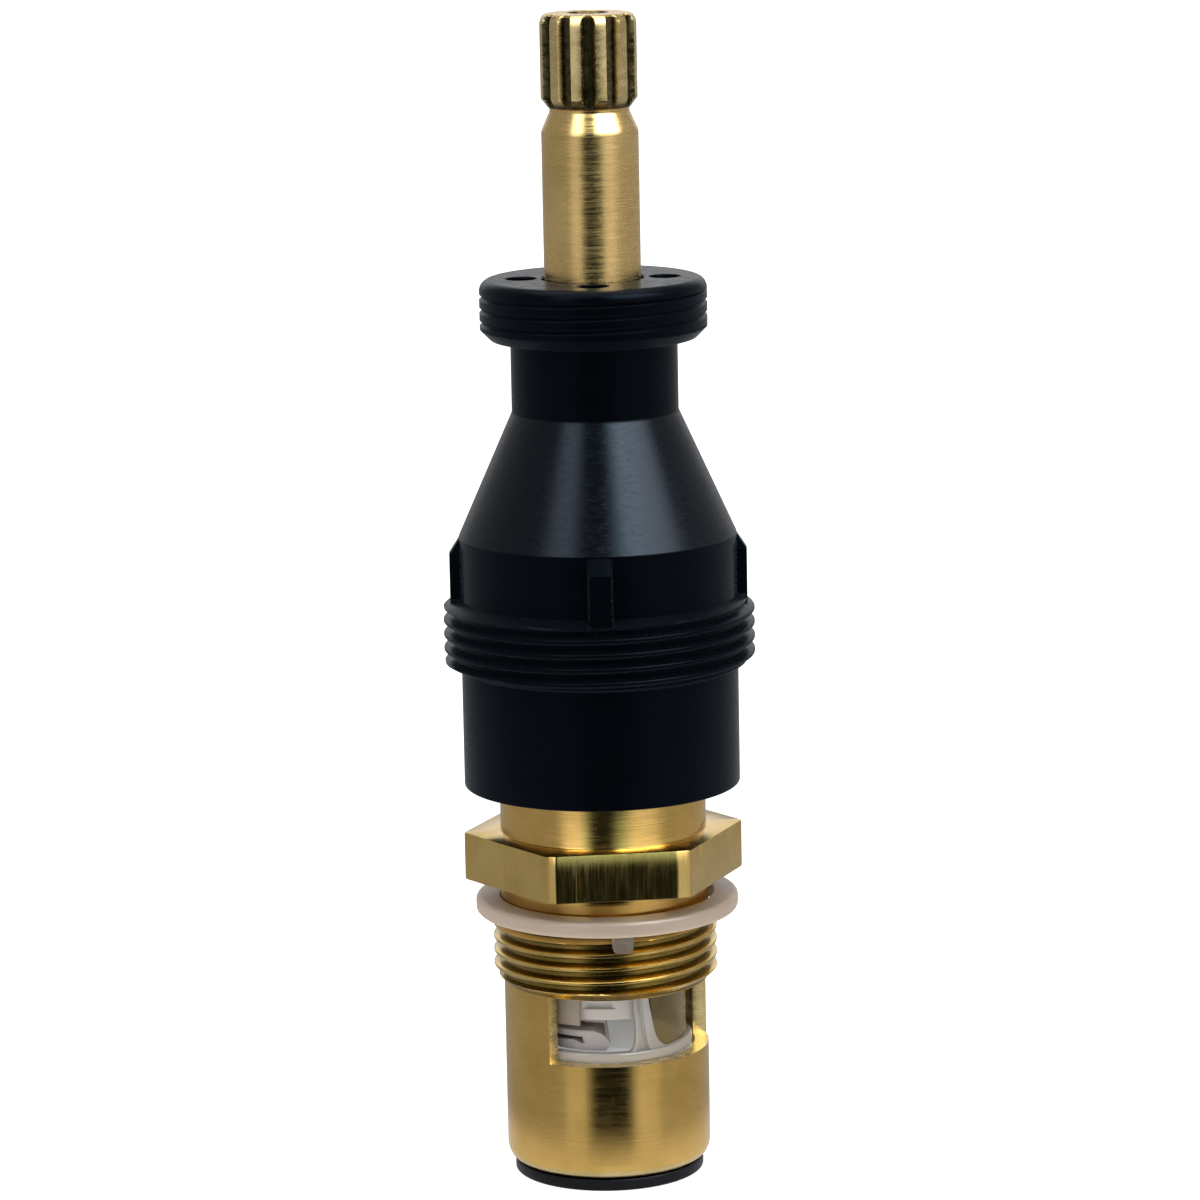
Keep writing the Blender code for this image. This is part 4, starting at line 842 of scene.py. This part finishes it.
def make_sleeve(material, cone_material):
    """Black sleeve: bored flange with a fine thread, neck, cone, ribbed drum, big thread and skirt."""
    angles = column_angles(COLUMNS, rib_columns())
    rows = rings(angles, rounded([(FLANGE_RADIUS - FLANGE_ROUNDING - FLANGE_TOP_STEP, SLEEVE_HIGH, 0.0),
                                  (FLANGE_RADIUS, SLEEVE_HIGH, FLANGE_ROUNDING),
                                  (FLANGE_RADIUS, FLANGE_THREAD["high"], 0.0)], FLANGE_ROUNDING_STEPS))
    thread = thread_rows(angles, FLANGE_THREAD, FLANGE_RADIUS, FLANGE_RADIUS)
    threads = [(len(rows), len(rows) + len(thread) - 1)]
    rows += thread
    rows += rings(angles, rounded([
        (FLANGE_RADIUS, FLANGE_THREAD["low"] - FLANGE_THREAD_STEP, 0.0),
        (FLANGE_RADIUS, FLANGE_LOW + FLANGE_UNDERCUT_HEIGHT, SMALL_FILLET),
        (FLANGE_RADIUS - FLANGE_UNDERCUT, FLANGE_LOW, LARGE_FILLET),
        (SLEEVE_NECK_RADIUS, FLANGE_LOW, FLANGE_NECK_FILLET),
        (SLEEVE_NECK_RADIUS, CONE_HIGH, CONE_FILLETS[0]), (SKIRT_RADIUS, CONE_LOW, CONE_FILLETS[1]),
        (SKIRT_RADIUS, RIB_HIGH + RIB_START, 0.0)]))
    rib_side = RIB_HIGH - RIB_CHAMFER
    for height in (RIB_HIGH, RIB_HIGH - RIB_STEP, rib_side, rib_side - RIB_STEP, *RIB_MIDDLE_ROWS):
        row = []
        for angle in angles:
            top = SKIRT_RADIUS + (RIB_HIGH - height) * (RIB_RADIUS - SKIRT_RADIUS) / RIB_CHAMFER
            rib = min(RIB_RADIUS, top)
            row.append(spot(angle, SKIRT_RADIUS + (rib - SKIRT_RADIUS) * rib_share(angle), height))
        rows.append(row)
    thread = thread_rows(angles, BIG_THREAD, SKIRT_RADIUS, SKIRT_RADIUS)
    threads.append((len(rows), len(rows) + len(thread) - 1))
    for row in thread:
        for index, angle in enumerate(angles):
            point = row[index]
            height = point.z / MM
            radius = math.hypot(point.x, point.y) / MM
            rib = SKIRT_RADIUS + (RIB_RADIUS - SKIRT_RADIUS) * rib_share(angle)
            if height > RIB_LOW and rib > radius:
                row[index] = spot(angle, rib, height)
    rows += thread
    rows += rings(angles, rounded([
        (SKIRT_RADIUS, BIG_THREAD["low"] - SKIRT_STEP, 0.0), (SKIRT_RADIUS, SLEEVE_LOW, SMALL_FILLET),
        (SLEEVE_BORE, SLEEVE_LOW, LARGE_FILLET), (SLEEVE_BORE, SLEEVE_LEDGE, 0.0),
        (CAVITY_RADIUS, SLEEVE_LEDGE, 0.0), (CAVITY_RADIUS, CONE_LOW - CONE_WALL, 0.0),
        (NECK_BORE, CONE_HIGH - CONE_WALL, 0.0), (NECK_BORE, GUIDE_LOW, 0.0),
        (GUIDE_BORE, GUIDE_LOW, 0.0), (GUIDE_BORE, SLEEVE_HIGH - HOLE_EDGE, 0.0),
        (GUIDE_BORE + HOLE_EDGE, SLEEVE_HIGH, 0.0)]))
    work = bmesh.new()
    grid = skin(work, rows, False, threads)
    turns = [FULL_TURN * step / HOLE_STEPS for step in range(HOLE_STEPS)]
    walls = []
    for index in range(SPANNER_HOLES):
        centre = spot(FULL_TURN * index / SPANNER_HOLES, SPANNER_HOLE_CIRCLE, 0)
        wall = []
        for radius, height in ((SPANNER_HOLE_RADIUS + HOLE_FLARE, SLEEVE_HIGH),
                               (SPANNER_HOLE_RADIUS, SLEEVE_HIGH - HOLE_EDGE),
                               (SPANNER_HOLE_RADIUS - HOLE_TAPER, SLEEVE_HIGH - SPANNER_HOLE_DEPTH)):
            wall.append([work.verts.new(centre + spot(turn, radius, height)) for turn in turns])
        for upper, lower in zip(wall, wall[1:]):
            join_loops(work, upper, lower)
        work.faces.new(wall[-1])
        walls.append(wall[0])
    rims = [grid[0], grid[-1]] + walls
    edges = []
    for loop in rims:
        for first, second in zip(loop, loop[1:] + loop[:1]):
            edges.append(work.edges.get((first, second)) or work.edges.new((first, second)))
    bmesh.ops.triangle_fill(work, use_beauty=True, use_dissolve=False, edges=edges,
                            normal=(0.0, 0.0, 1.0))
    # The cone takes a glossier copy of the black plastic, which paints brighter highlights on it
    for face in work.faces:
        face.material_index = 1 if CONE_LOW < face.calc_center_median().z / MM < CONE_HIGH else 0
    mesh_object("sleeve_shell", work, [material, cone_material], "cartridge",
                ["extension_sleeve"], SLEEVE_SHARP_ANGLE)


def make_washer(material):
    """Nylon washer with rounded edges."""
    rows = rings(column_angles(COLUMNS), rounded([
        (WASHER_INNER, WASHER_HIGH - FINE_FILLET, 0.0), (WASHER_INNER + FINE_FILLET, WASHER_HIGH, 0.0),
        (WASHER_OUTER, WASHER_HIGH, WASHER_FILLET), (WASHER_OUTER, WASHER_LOW, WASHER_FILLET),
        (WASHER_INNER + FINE_FILLET, WASHER_LOW, 0.0),
        (WASHER_INNER, WASHER_LOW + FINE_FILLET, 0.0)], WASHER_FILLET_STEPS))
    work = bmesh.new()
    skin(work, rows, True)
    bmesh.ops.translate(work, verts=work.verts, vec=(WASHER_SHIFT * MM, 0, 0))
    mesh_object("washer_ring", work, [material], "cartridge", ["sealing_washer"])


def make_washer_tab(material):
    """Small tab that the mould left under the washer, with rounded lower corners."""
    side = -WASHER_TAB_WIDTH / 2
    corner = WASHER_TAB_CORNER
    low = corner - WASHER_TAB_DROP
    outline = [(side, WASHER_TAB_RISE), (side, low)]
    outline += [(side + corner - corner * math.cos(turn), low - corner * math.sin(turn))
                for turn in map(math.radians, (30, 60, 90))]
    outline += [(-x, y) for x, y in reversed(outline)]
    turned = Matrix.Rotation(WASHER_TAB_TURN, 4, 'Z')
    layers = []
    for setback, shrink in WASHER_TAB_LAYERS:
        depth = WASHER_TAB_OUTER - setback
        points = [(x * shrink, -depth, WASHER_LOW + y * (shrink if y < 0 else 1)) for x, y in outline]
        layers.append([turned @ Vector(point) * MM for point in points])
    work = bmesh.new()
    stack(work, layers)
    bmesh.ops.translate(work, verts=work.verts, vec=(WASHER_SHIFT * MM, 0, 0))
    mesh_object("washer_tab", work, [material], "cartridge")


def make_seal(material):
    """Rubber seat seal below the barrel, with soft edges."""
    rows = rings(column_angles(COLUMNS), rounded([
        (SEAL_POCKET, SEAL_TOP, 0.0), (SEAL_PLUG_RADIUS, SEAL_TOP, SMALL_FILLET),
        (SEAL_PLUG_RADIUS, SEAL_THICKNESS, FINE_FILLET), (SEAL_RADIUS, SEAL_THICKNESS, SMALL_FILLET),
        (SEAL_RADIUS, 0.0, SEAL_FOOT_FILLET), (SEAL_INLET, 0.0, SMALL_FILLET),
        (SEAL_INLET, SEAL_LIP, FINE_FILLET), (SEAL_POCKET, SEAL_LIP, 0.0)]))
    work = bmesh.new()
    skin(work, rows, True)
    mesh_object("seal_ring", work, [material], "cartridge", ["seat_seal"])


def block(work, start, end, inner, outer, low, high, edge=BLOCK_EDGE):
    """Piece of a ring with soft edges, between two angles, radii and heights."""
    layers = []
    for height, inset in ((low, edge), (low + edge, 0.0), (high - edge, 0.0), (high, edge)):
        turns = [start + (end - start) * step / BLOCK_STEPS for step in range(BLOCK_STEPS + 1)]
        near = [spot(turn, outer - inset, height) for turn in turns]
        far = [spot(turn, inner + inset, height) for turn in reversed(turns)]
        layers.append(near + far)
    stack(work, layers)


def softened(frame, node, name, material, body):
    """Copy of a CAD node with its sharp edges rounded."""
    work = bmesh.new()
    work.from_mesh(frame["nodes"][node].data)
    bmesh.ops.remove_doubles(work, verts=work.verts, dist=MERGE * MM)
    bmesh.ops.dissolve_limit(work, angle_limit=math.radians(1), verts=work.verts, edges=work.edges)
    sharp = [edge for edge in work.edges if edge.calc_face_angle(0) > SHARP_ANGLE]
    bmesh.ops.bevel(work, geom=sharp, offset=SOFT_EDGE * MM, segments=2, profile=0.5, affect='EDGES',
                    clamp_overlap=True)
    mesh_object(name, work, [material], body, [node])


def segment(flat, height, inset=0.0, notch=(0.0, 0.0, 0.0), rise=0.0, radius=ROTOR_RADIUS):
    """Outline of a rotor layer: a circle cut off by a flat, with a notch of a start, an end and a depth.

    The outline climbs by a rise along the notch.
    """
    start, end, depth = notch
    side = OPEN_SIDE + math.pi
    reach = math.acos(flat / radius)
    points = []
    for step in range(ROTOR_STEPS + 1):
        turn = side + reach * (2 * step / ROTOR_STEPS - 1)
        front = wrapped(turn)
        inside = start < front < end
        share = (front - start) / (end - start) if inside else 0.0
        ends = min(1.0, (1 - share) * NOTCH_SLOPE, share * NOTCH_SLOPE)
        points.append(spot(turn, radius - inset - depth * ends, height + share * rise * ends))
    return points


def make_driver(material):
    """White carrier: a plate cut off on its open side, with a recess in its rim, on a smaller foot."""
    work = bmesh.new()
    recess = (RECESS_START, RECESS_END, RECESS_DEPTH)
    stack(work, [segment(PLATE_FLAT, PLATE_LOW, SOFT_EDGE), segment(PLATE_FLAT, PLATE_LOW + SOFT_EDGE),
                 segment(PLATE_FLAT, RECESS_LOW), segment(PLATE_FLAT, RECESS_LOW + LEDGE, 0.0, recess),
                 segment(PLATE_FLAT, RECESS_HIGH, 0.0, recess), segment(PLATE_FLAT, RECESS_HIGH + LEDGE),
                 segment(PLATE_FLAT, PLATE_HIGH - SOFT_EDGE), segment(PLATE_FLAT, PLATE_HIGH, SOFT_EDGE)])
    stack(work, [segment(DISC_FLAT, FOOT_LOW, SOFT_EDGE, radius=FOOT_RADIUS),
                 segment(DISC_FLAT, FOOT_LOW + SOFT_EDGE, radius=FOOT_RADIUS),
                 segment(DISC_FLAT, PLATE_LOW + OVERLAP, radius=FOOT_RADIUS)])
    mesh_object("driver_carrier", work, [material], "spindle", ["driver"])


def make_moving_disc(material):
    """Ceramic disc cut off on its open side, with a slot in its rim that narrows to the right."""
    work = bmesh.new()
    slot = (SLOT_START, SLOT_END, SLOT_DEPTH)
    stack(work, [segment(DISC_FLAT, DISC_LOW, SOFT_EDGE), segment(DISC_FLAT, DISC_LOW + SOFT_EDGE),
                 segment(DISC_FLAT_BULGE, SLOT_LOW - LEDGE, 0.0, (SLOT_START, SLOT_END, 0.0), SLOT_RISE),
                 segment(DISC_FLAT_BULGE, SLOT_LOW, 0.0, slot, SLOT_RISE),
                 segment(DISC_FLAT, SLOT_HIGH, 0.0, slot), segment(DISC_FLAT, SLOT_HIGH + LEDGE),
                 segment((DISC_FLAT + DISC_FLAT_TOP) / 2, DISC_HIGH - 3 * SOFT_EDGE),
                 segment(DISC_FLAT_TOP, DISC_HIGH - SOFT_EDGE),
                 segment(DISC_FLAT_TOP, DISC_HIGH, SOFT_EDGE)])
    mesh_object("moving_disc_half", work, [material], "spindle", ["moving_disc"])


def strut_layer(turn, rise):
    """Outline of a strut at a share of its height: a thin rib, a channel and a broad band."""
    flare = math.exp(-rise / STRUT_FLARE)
    left = STRUT_LEFT[0] + (STRUT_LEFT[1] - STRUT_LEFT[0]) * rise - STRUT_FLARE_LEFT * flare
    right = STRUT_RIGHT[0] + (STRUT_RIGHT[1] - STRUT_RIGHT[0]) * rise + STRUT_FLARE_RIGHT * flare
    low = CAGE_LOW + CAGE_RING - OVERLAP
    height = low + (CAGE_UPPER + OVERLAP - low) * rise
    return [spot(turn + left + (right - left) * share, radius, height) for share, radius in STRUT_OUTLINE]


def make_cage(material, panel_material, wall_material):
    """Translucent cage: two soft-edged rings, three struts that flare into the lower one, and tabs.

    A tan panel hangs at the window's left, and a thin brown wall stands at its right.
    """
    angles = column_angles(INNER_COLUMNS)
    work = bmesh.new()
    for low in (CAGE_LOW, CAGE_UPPER):
        high = low + CAGE_RING
        skin(work, rings(angles, rounded([
            (CAGE_INNER, low + CAGE_BORE_START, 0.0), (CAGE_INNER, low, CAGE_LOW_FILLET),
            (CAGE_OUTER, low, CAGE_LOW_FILLET), (CAGE_OUTER, high, CAGE_HIGH_FILLET),
            (CAGE_INNER, high, SMALL_FILLET), (CAGE_INNER, low + CAGE_BORE_END, 0.0)])), True)
    for index in range(CAGE_STRUTS):
        turn = FULL_TURN * index / CAGE_STRUTS
        stack(work, [strut_layer(turn, rise) for rise in STRUT_LEVELS])
    cage_faces = set(work.faces)
    block(work, PANEL_START, PANEL_END, *PANEL_RADII, PANEL_LOW, CAGE_UPPER + OVERLAP)
    block(work, WALL_START, WALL_END, *WALL_RADII, CAGE_LOW + CAGE_RING - OVERLAP, CAGE_UPPER + OVERLAP)
    for face in work.faces:
        if face not in cage_faces:
            face.material_index = 2 if face.calc_center_median().x > 0 else 1
    for turn in (STRUT_TURN - math.pi / 2, STRUT_TURN + math.pi / 2):
        block(work, turn - TAB_HALF, turn + TAB_HALF, CAGE_INNER + LEDGE, CAGE_OUTER - LEDGE,
              TAB_LOW, CAGE_LOW + TAB_OVERLAP, TAB_EDGE)
    mesh_object("cage_shell", work, [material, panel_material, wall_material], "cartridge",
                ["flow_cage"])


# Surroundings

def make_world():
    """Soft studio: pale surround with soft boxes, and a dark gap where the camera stands."""
    world = bpy.data.worlds.new("studio")
    bpy.context.scene.world = world
    world.use_nodes = True
    world.cycles.sampling_method = 'NONE'
    tree = world.node_tree
    tree.nodes.clear()
    way = add(tree, "ShaderNodeTexCoord").outputs["Generated"]
    axes = add(tree, "ShaderNodeSeparateXYZ", {0: way})
    front = times(tree, axes.outputs[1], -1.0)
    azimuth = times(tree, math_node(tree, 'ARCTAN2', axes.outputs[0], front), 180 / math.pi)
    elevation = times(tree, math_node(tree, 'ARCSINE', axes.outputs[2]), 180 / math.pi)

    def band(value, low, high, soft):
        rise = between(tree, value, low - soft, low + soft, 0.0, 1.0)
        fall = between(tree, value, high - soft, high + soft, 1.0, 0.0)
        return times(tree, rise, fall)

    def patch(left, right, low, high, soft, strength):
        area = times(tree, band(azimuth, left, right, soft), band(elevation, low, high, EDGE_SOFTNESS))
        return times(tree, area, strength)

    level = between(tree, azimuth, *SURROUND_AZIMUTHS, *SURROUND_LEVELS)
    gap = patch(*CAMERA_GAP)
    level = times(tree, level, math_node(tree, 'SUBTRACT', 1.0, gap))
    for box in SOFT_BOXES:
        level = math_node(tree, 'ADD', level, patch(*box))
    path = add(tree, "ShaderNodeLightPath")
    glossy = path.outputs["Is Glossy Ray"]
    soft = between(tree, elevation, *PLAIN_ELEVATIONS, *PLAIN_LEVELS)
    plain = math_node(tree, 'MAXIMUM', soft, path.outputs["Is Camera Ray"])
    strength = math_node(tree, 'ADD', times(tree, level, glossy),
                         times(tree, plain, math_node(tree, 'SUBTRACT', 1.0, glossy)))
    colour = ramp(tree, times(tree, gap, glossy), [(0.0, (1.0, 1.0, 1.0)), (1.0, GAP_TINT)])
    background = add(tree, "ShaderNodeBackground", {"Color": colour, "Strength": strength})
    add(tree, "ShaderNodeOutputWorld", {0: background.outputs[0]})


def floor_finish(name, glow, shade, fade=None):
    """Matt floor lifted by a glow, which can fade out between two distances from the axis."""
    material, tree, shader = shader_tree(name)
    grain = noise_value(tree, FLOOR_GRAIN, 2.0, 0.5)
    low, high = MARK_RANGE
    fill(tree, shader, {
        "Base Color": ramp(tree, grain, [(low, (shade - FLOOR_VARIATION,) * 3), (high, (shade,) * 3)]),
        "Roughness": FLOOR_ROUGHNESS, "Specular IOR Level": 0.0,
        "Emission Color": (1.0, 1.0, 1.0, 1.0), "Emission Strength": glow})
    if fade:
        gone = between(tree, from_axis(tree), *fade, 0.0, 1.0)
        clear = add(tree, "ShaderNodeBsdfTransparent")
        mix = add(tree, "ShaderNodeMixShader", {0: gone, 1: shader.outputs[0], 2: clear.outputs[0]})
        fill(tree, tree.nodes["Material Output"], {0: mix.outputs[0]})
    return material


def make_floor():
    """Plain pale floor. Reflections see only a darker, soft-edged piece of it near the part: painted shade.
    """
    for name, radius, height, glossy, glow, shade, fade in (
            ("floor", FLOOR_RADIUS, 0.0, False, FLOOR_GLOW, FLOOR_SHADE, None),
            ("floor_near", NEAR_FLOOR_RADIUS, -NEAR_FLOOR_DROP, True, 0.0, NEAR_FLOOR_SHADE,
             NEAR_FLOOR_FADE)):
        material = floor_finish(name + "_white", glow, shade, fade)
        work = bmesh.new()
        bmesh.ops.create_circle(work, cap_ends=True, segments=FLOOR_STEPS, radius=radius * MM)
        mesh = bpy.data.meshes.new(name)
        work.to_mesh(mesh)
        work.free()
        mesh.materials.append(material)
        plane = placed(name, mesh)
        plane.location.z = height * MM
        plane.visible_glossy = glossy
        plane.visible_camera = not glossy
        plane.visible_diffuse = not glossy
        plane.visible_shadow = not glossy


def make_camera():
    """Camera of the photograph: a long lens a little above the part, very slightly rolled."""
    data = bpy.data.cameras.new("camera")
    data.lens = LENS
    data.sensor_width = SENSOR
    data.clip_start = CLIP_START
    data.clip_end = CLIP_END
    camera = placed("camera", data)
    aim = Vector((AIM_SIDE, 0.0, AIM_HEIGHT)) * MM
    back = Vector((0.0, -math.cos(CAMERA_ELEVATION), math.sin(CAMERA_ELEVATION)))
    camera.location = aim + back * CAMERA_DISTANCE * MM
    camera.rotation_mode = 'QUATERNION'
    camera.rotation_quaternion = (-back).to_track_quat('-Z', 'Y') @ Matrix.Rotation(
        CAMERA_ROLL, 3, 'Z').to_quaternion()
    bpy.context.scene.camera = camera


def dress(frame, finishes):
    """Give each CAD node that stays its finish, by its material slot in the record."""
    for row in frame["record"]["subparts"]:
        mesh = frame["nodes"][row["node"]].data
        mesh.materials.clear()
        mesh.materials.append(finishes[row["material_slot"]])
        mesh.shade_smooth()
        mesh.set_sharp_from_angle(angle=SHARP_ANGLE)


def main():
    """Load the frame, dress it and set the stage."""
    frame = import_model()
    turned_brass = brass("brass_turned", (0.25, 0.25, 9.0), (0.70, 0.45, 0.12), (0.86, 0.56, 0.18),
                         rough=0.15, line_depth=0.0012, blotch=0.25)
    milled_brass = brass("brass_milled", (7.0, 7.0, 0.25), (0.66, 0.45, 0.13), (0.82, 0.58, 0.21),
                         rough=0.15, line_depth=0.0011, blotch=0.2)
    stem_brass = brass("brass_stem", (0.3, 0.3, 7.0), (0.70, 0.48, 0.18), (0.86, 0.60, 0.25),
                       rough=0.24, line_depth=0.0024, blotch=0.5)
    # The head's finish paints near-black shade into its grooves and its tapped hole
    head_brass = brass("brass_head", (0.9, 0.9, 1.6), (0.56, 0.42, 0.17), (0.84, 0.66, 0.34),
                       rough=0.24, line_depth=0.0045, blotch=0.7,
                       recess_shade=(4.3, 4.88, 0.97, (0.022, 0.019, 0.007)))
    # The thread's finish paints shade into the thread's roots
    thread_brass = brass("brass_thread", (0.25, 0.25, 9.0), (0.66, 0.46, 0.12), (0.84, 0.62, 0.24),
                         rough=0.16, line_depth=0.0012, blotch=0.3,
                         recess_shade=(10.9, 11.5, 0.8, (0.13, 0.085, 0.012)))
    inner_brass = brass("brass_inner", (0.3, 0.3, 3.0), (0.61, 0.47, 0.20), (0.78, 0.62, 0.31),
                        rough=0.26, line_depth=0.002, blotch=0.5)
    steel = brass("steel_bright", (0.3, 0.3, 6.0), (0.5, 0.49, 0.47), (0.62, 0.61, 0.59),
                  rough=0.25, line_depth=0.002)
    # Both black plastics have a blue-tinted gloss and a faint blue sheen: painted reflection. The cone's
    # copy has a stronger gloss, which paints brighter highlights on the cone
    cone_black = plastic("plastic_black_cone", BLACK, 0.25, 0.001, 0.3, gloss=0.22,
                         gloss_tint=(0.66, 0.8, 1.0), painted_sheen=0.03)
    tan_clear = plastic("plastic_clear_tan", (0.38, 0.32, 0.25), 0.2, 0.001, 0.05, transmission=0.3)
    brown_clear = plastic("plastic_clear_brown", (0.34, 0.25, 0.10), 0.12, 0.002, 0.05,
                          transmission=0.85)
    thin_nylon = plastic("nylon_thin", (0.42, 0.365, 0.30), 0.2, 0.002, 0.03, transmission=0.75)
    moving_ceramic = plastic("ceramic_lilac", (0.40, 0.37, 0.37), 0.16, 0.0005, 0.02)
    finishes = {
        "spindle_brass": stem_brass,
        "body_brass": turned_brass,
        "steel": steel,
        # Blue-tinted gloss and faint blue sheen: painted reflection
        "black_plastic": plastic("plastic_black", BLACK, 0.25, 0.001, 0.3, gloss=0.04,
                                 gloss_tint=(0.5, 0.7, 1.0), painted_sheen=0.03),
        "black_rubber": plastic("rubber_black", (0.0015, 0.0018, 0.0035), 0.45, 0.006, 0.3, gloss=0.2),
        "translucent_nylon": plastic("nylon_milky", (0.42, 0.335, 0.265), 0.34, 0.002, 0.03,
                                     subsurface=0.5),
        "clear_plastic": plastic("plastic_clear", (0.62, 0.59, 0.56), 0.16, 0.001, 0.02,
                                 transmission=0.5),
        # The white plastic and the white ceramic glow a little: painted light, as neither is a lamp
        "white_plastic": plastic("plastic_white", (0.49, 0.45, 0.43), 0.32, 0.002, 0.03,
                                 subsurface=0.3, glow=0.02),
        "white_ceramic": plastic("ceramic_white", (0.78, 0.81, 0.83), 0.14, 0.0005, 0.01, glow=0.24),
    }
    dress(frame, finishes)
    make_stem(stem_brass, head_brass)
    make_body(turned_brass, milled_brass, thread_brass, inner_brass)
    make_sleeve(finishes["black_plastic"], cone_black)
    make_washer(finishes["translucent_nylon"])
    make_washer_tab(thin_nylon)
    make_seal(finishes["black_rubber"])
    make_cage(finishes["clear_plastic"], tan_clear, brown_clear)
    make_driver(finishes["white_plastic"])
    make_moving_disc(moving_ceramic)
    softened(frame, "fixed_disc", "fixed_disc_soft", finishes["white_ceramic"], "cartridge")
    make_world()
    make_floor()
    make_camera()
    bpy.context.scene.view_settings.view_transform = 'Standard'


main()
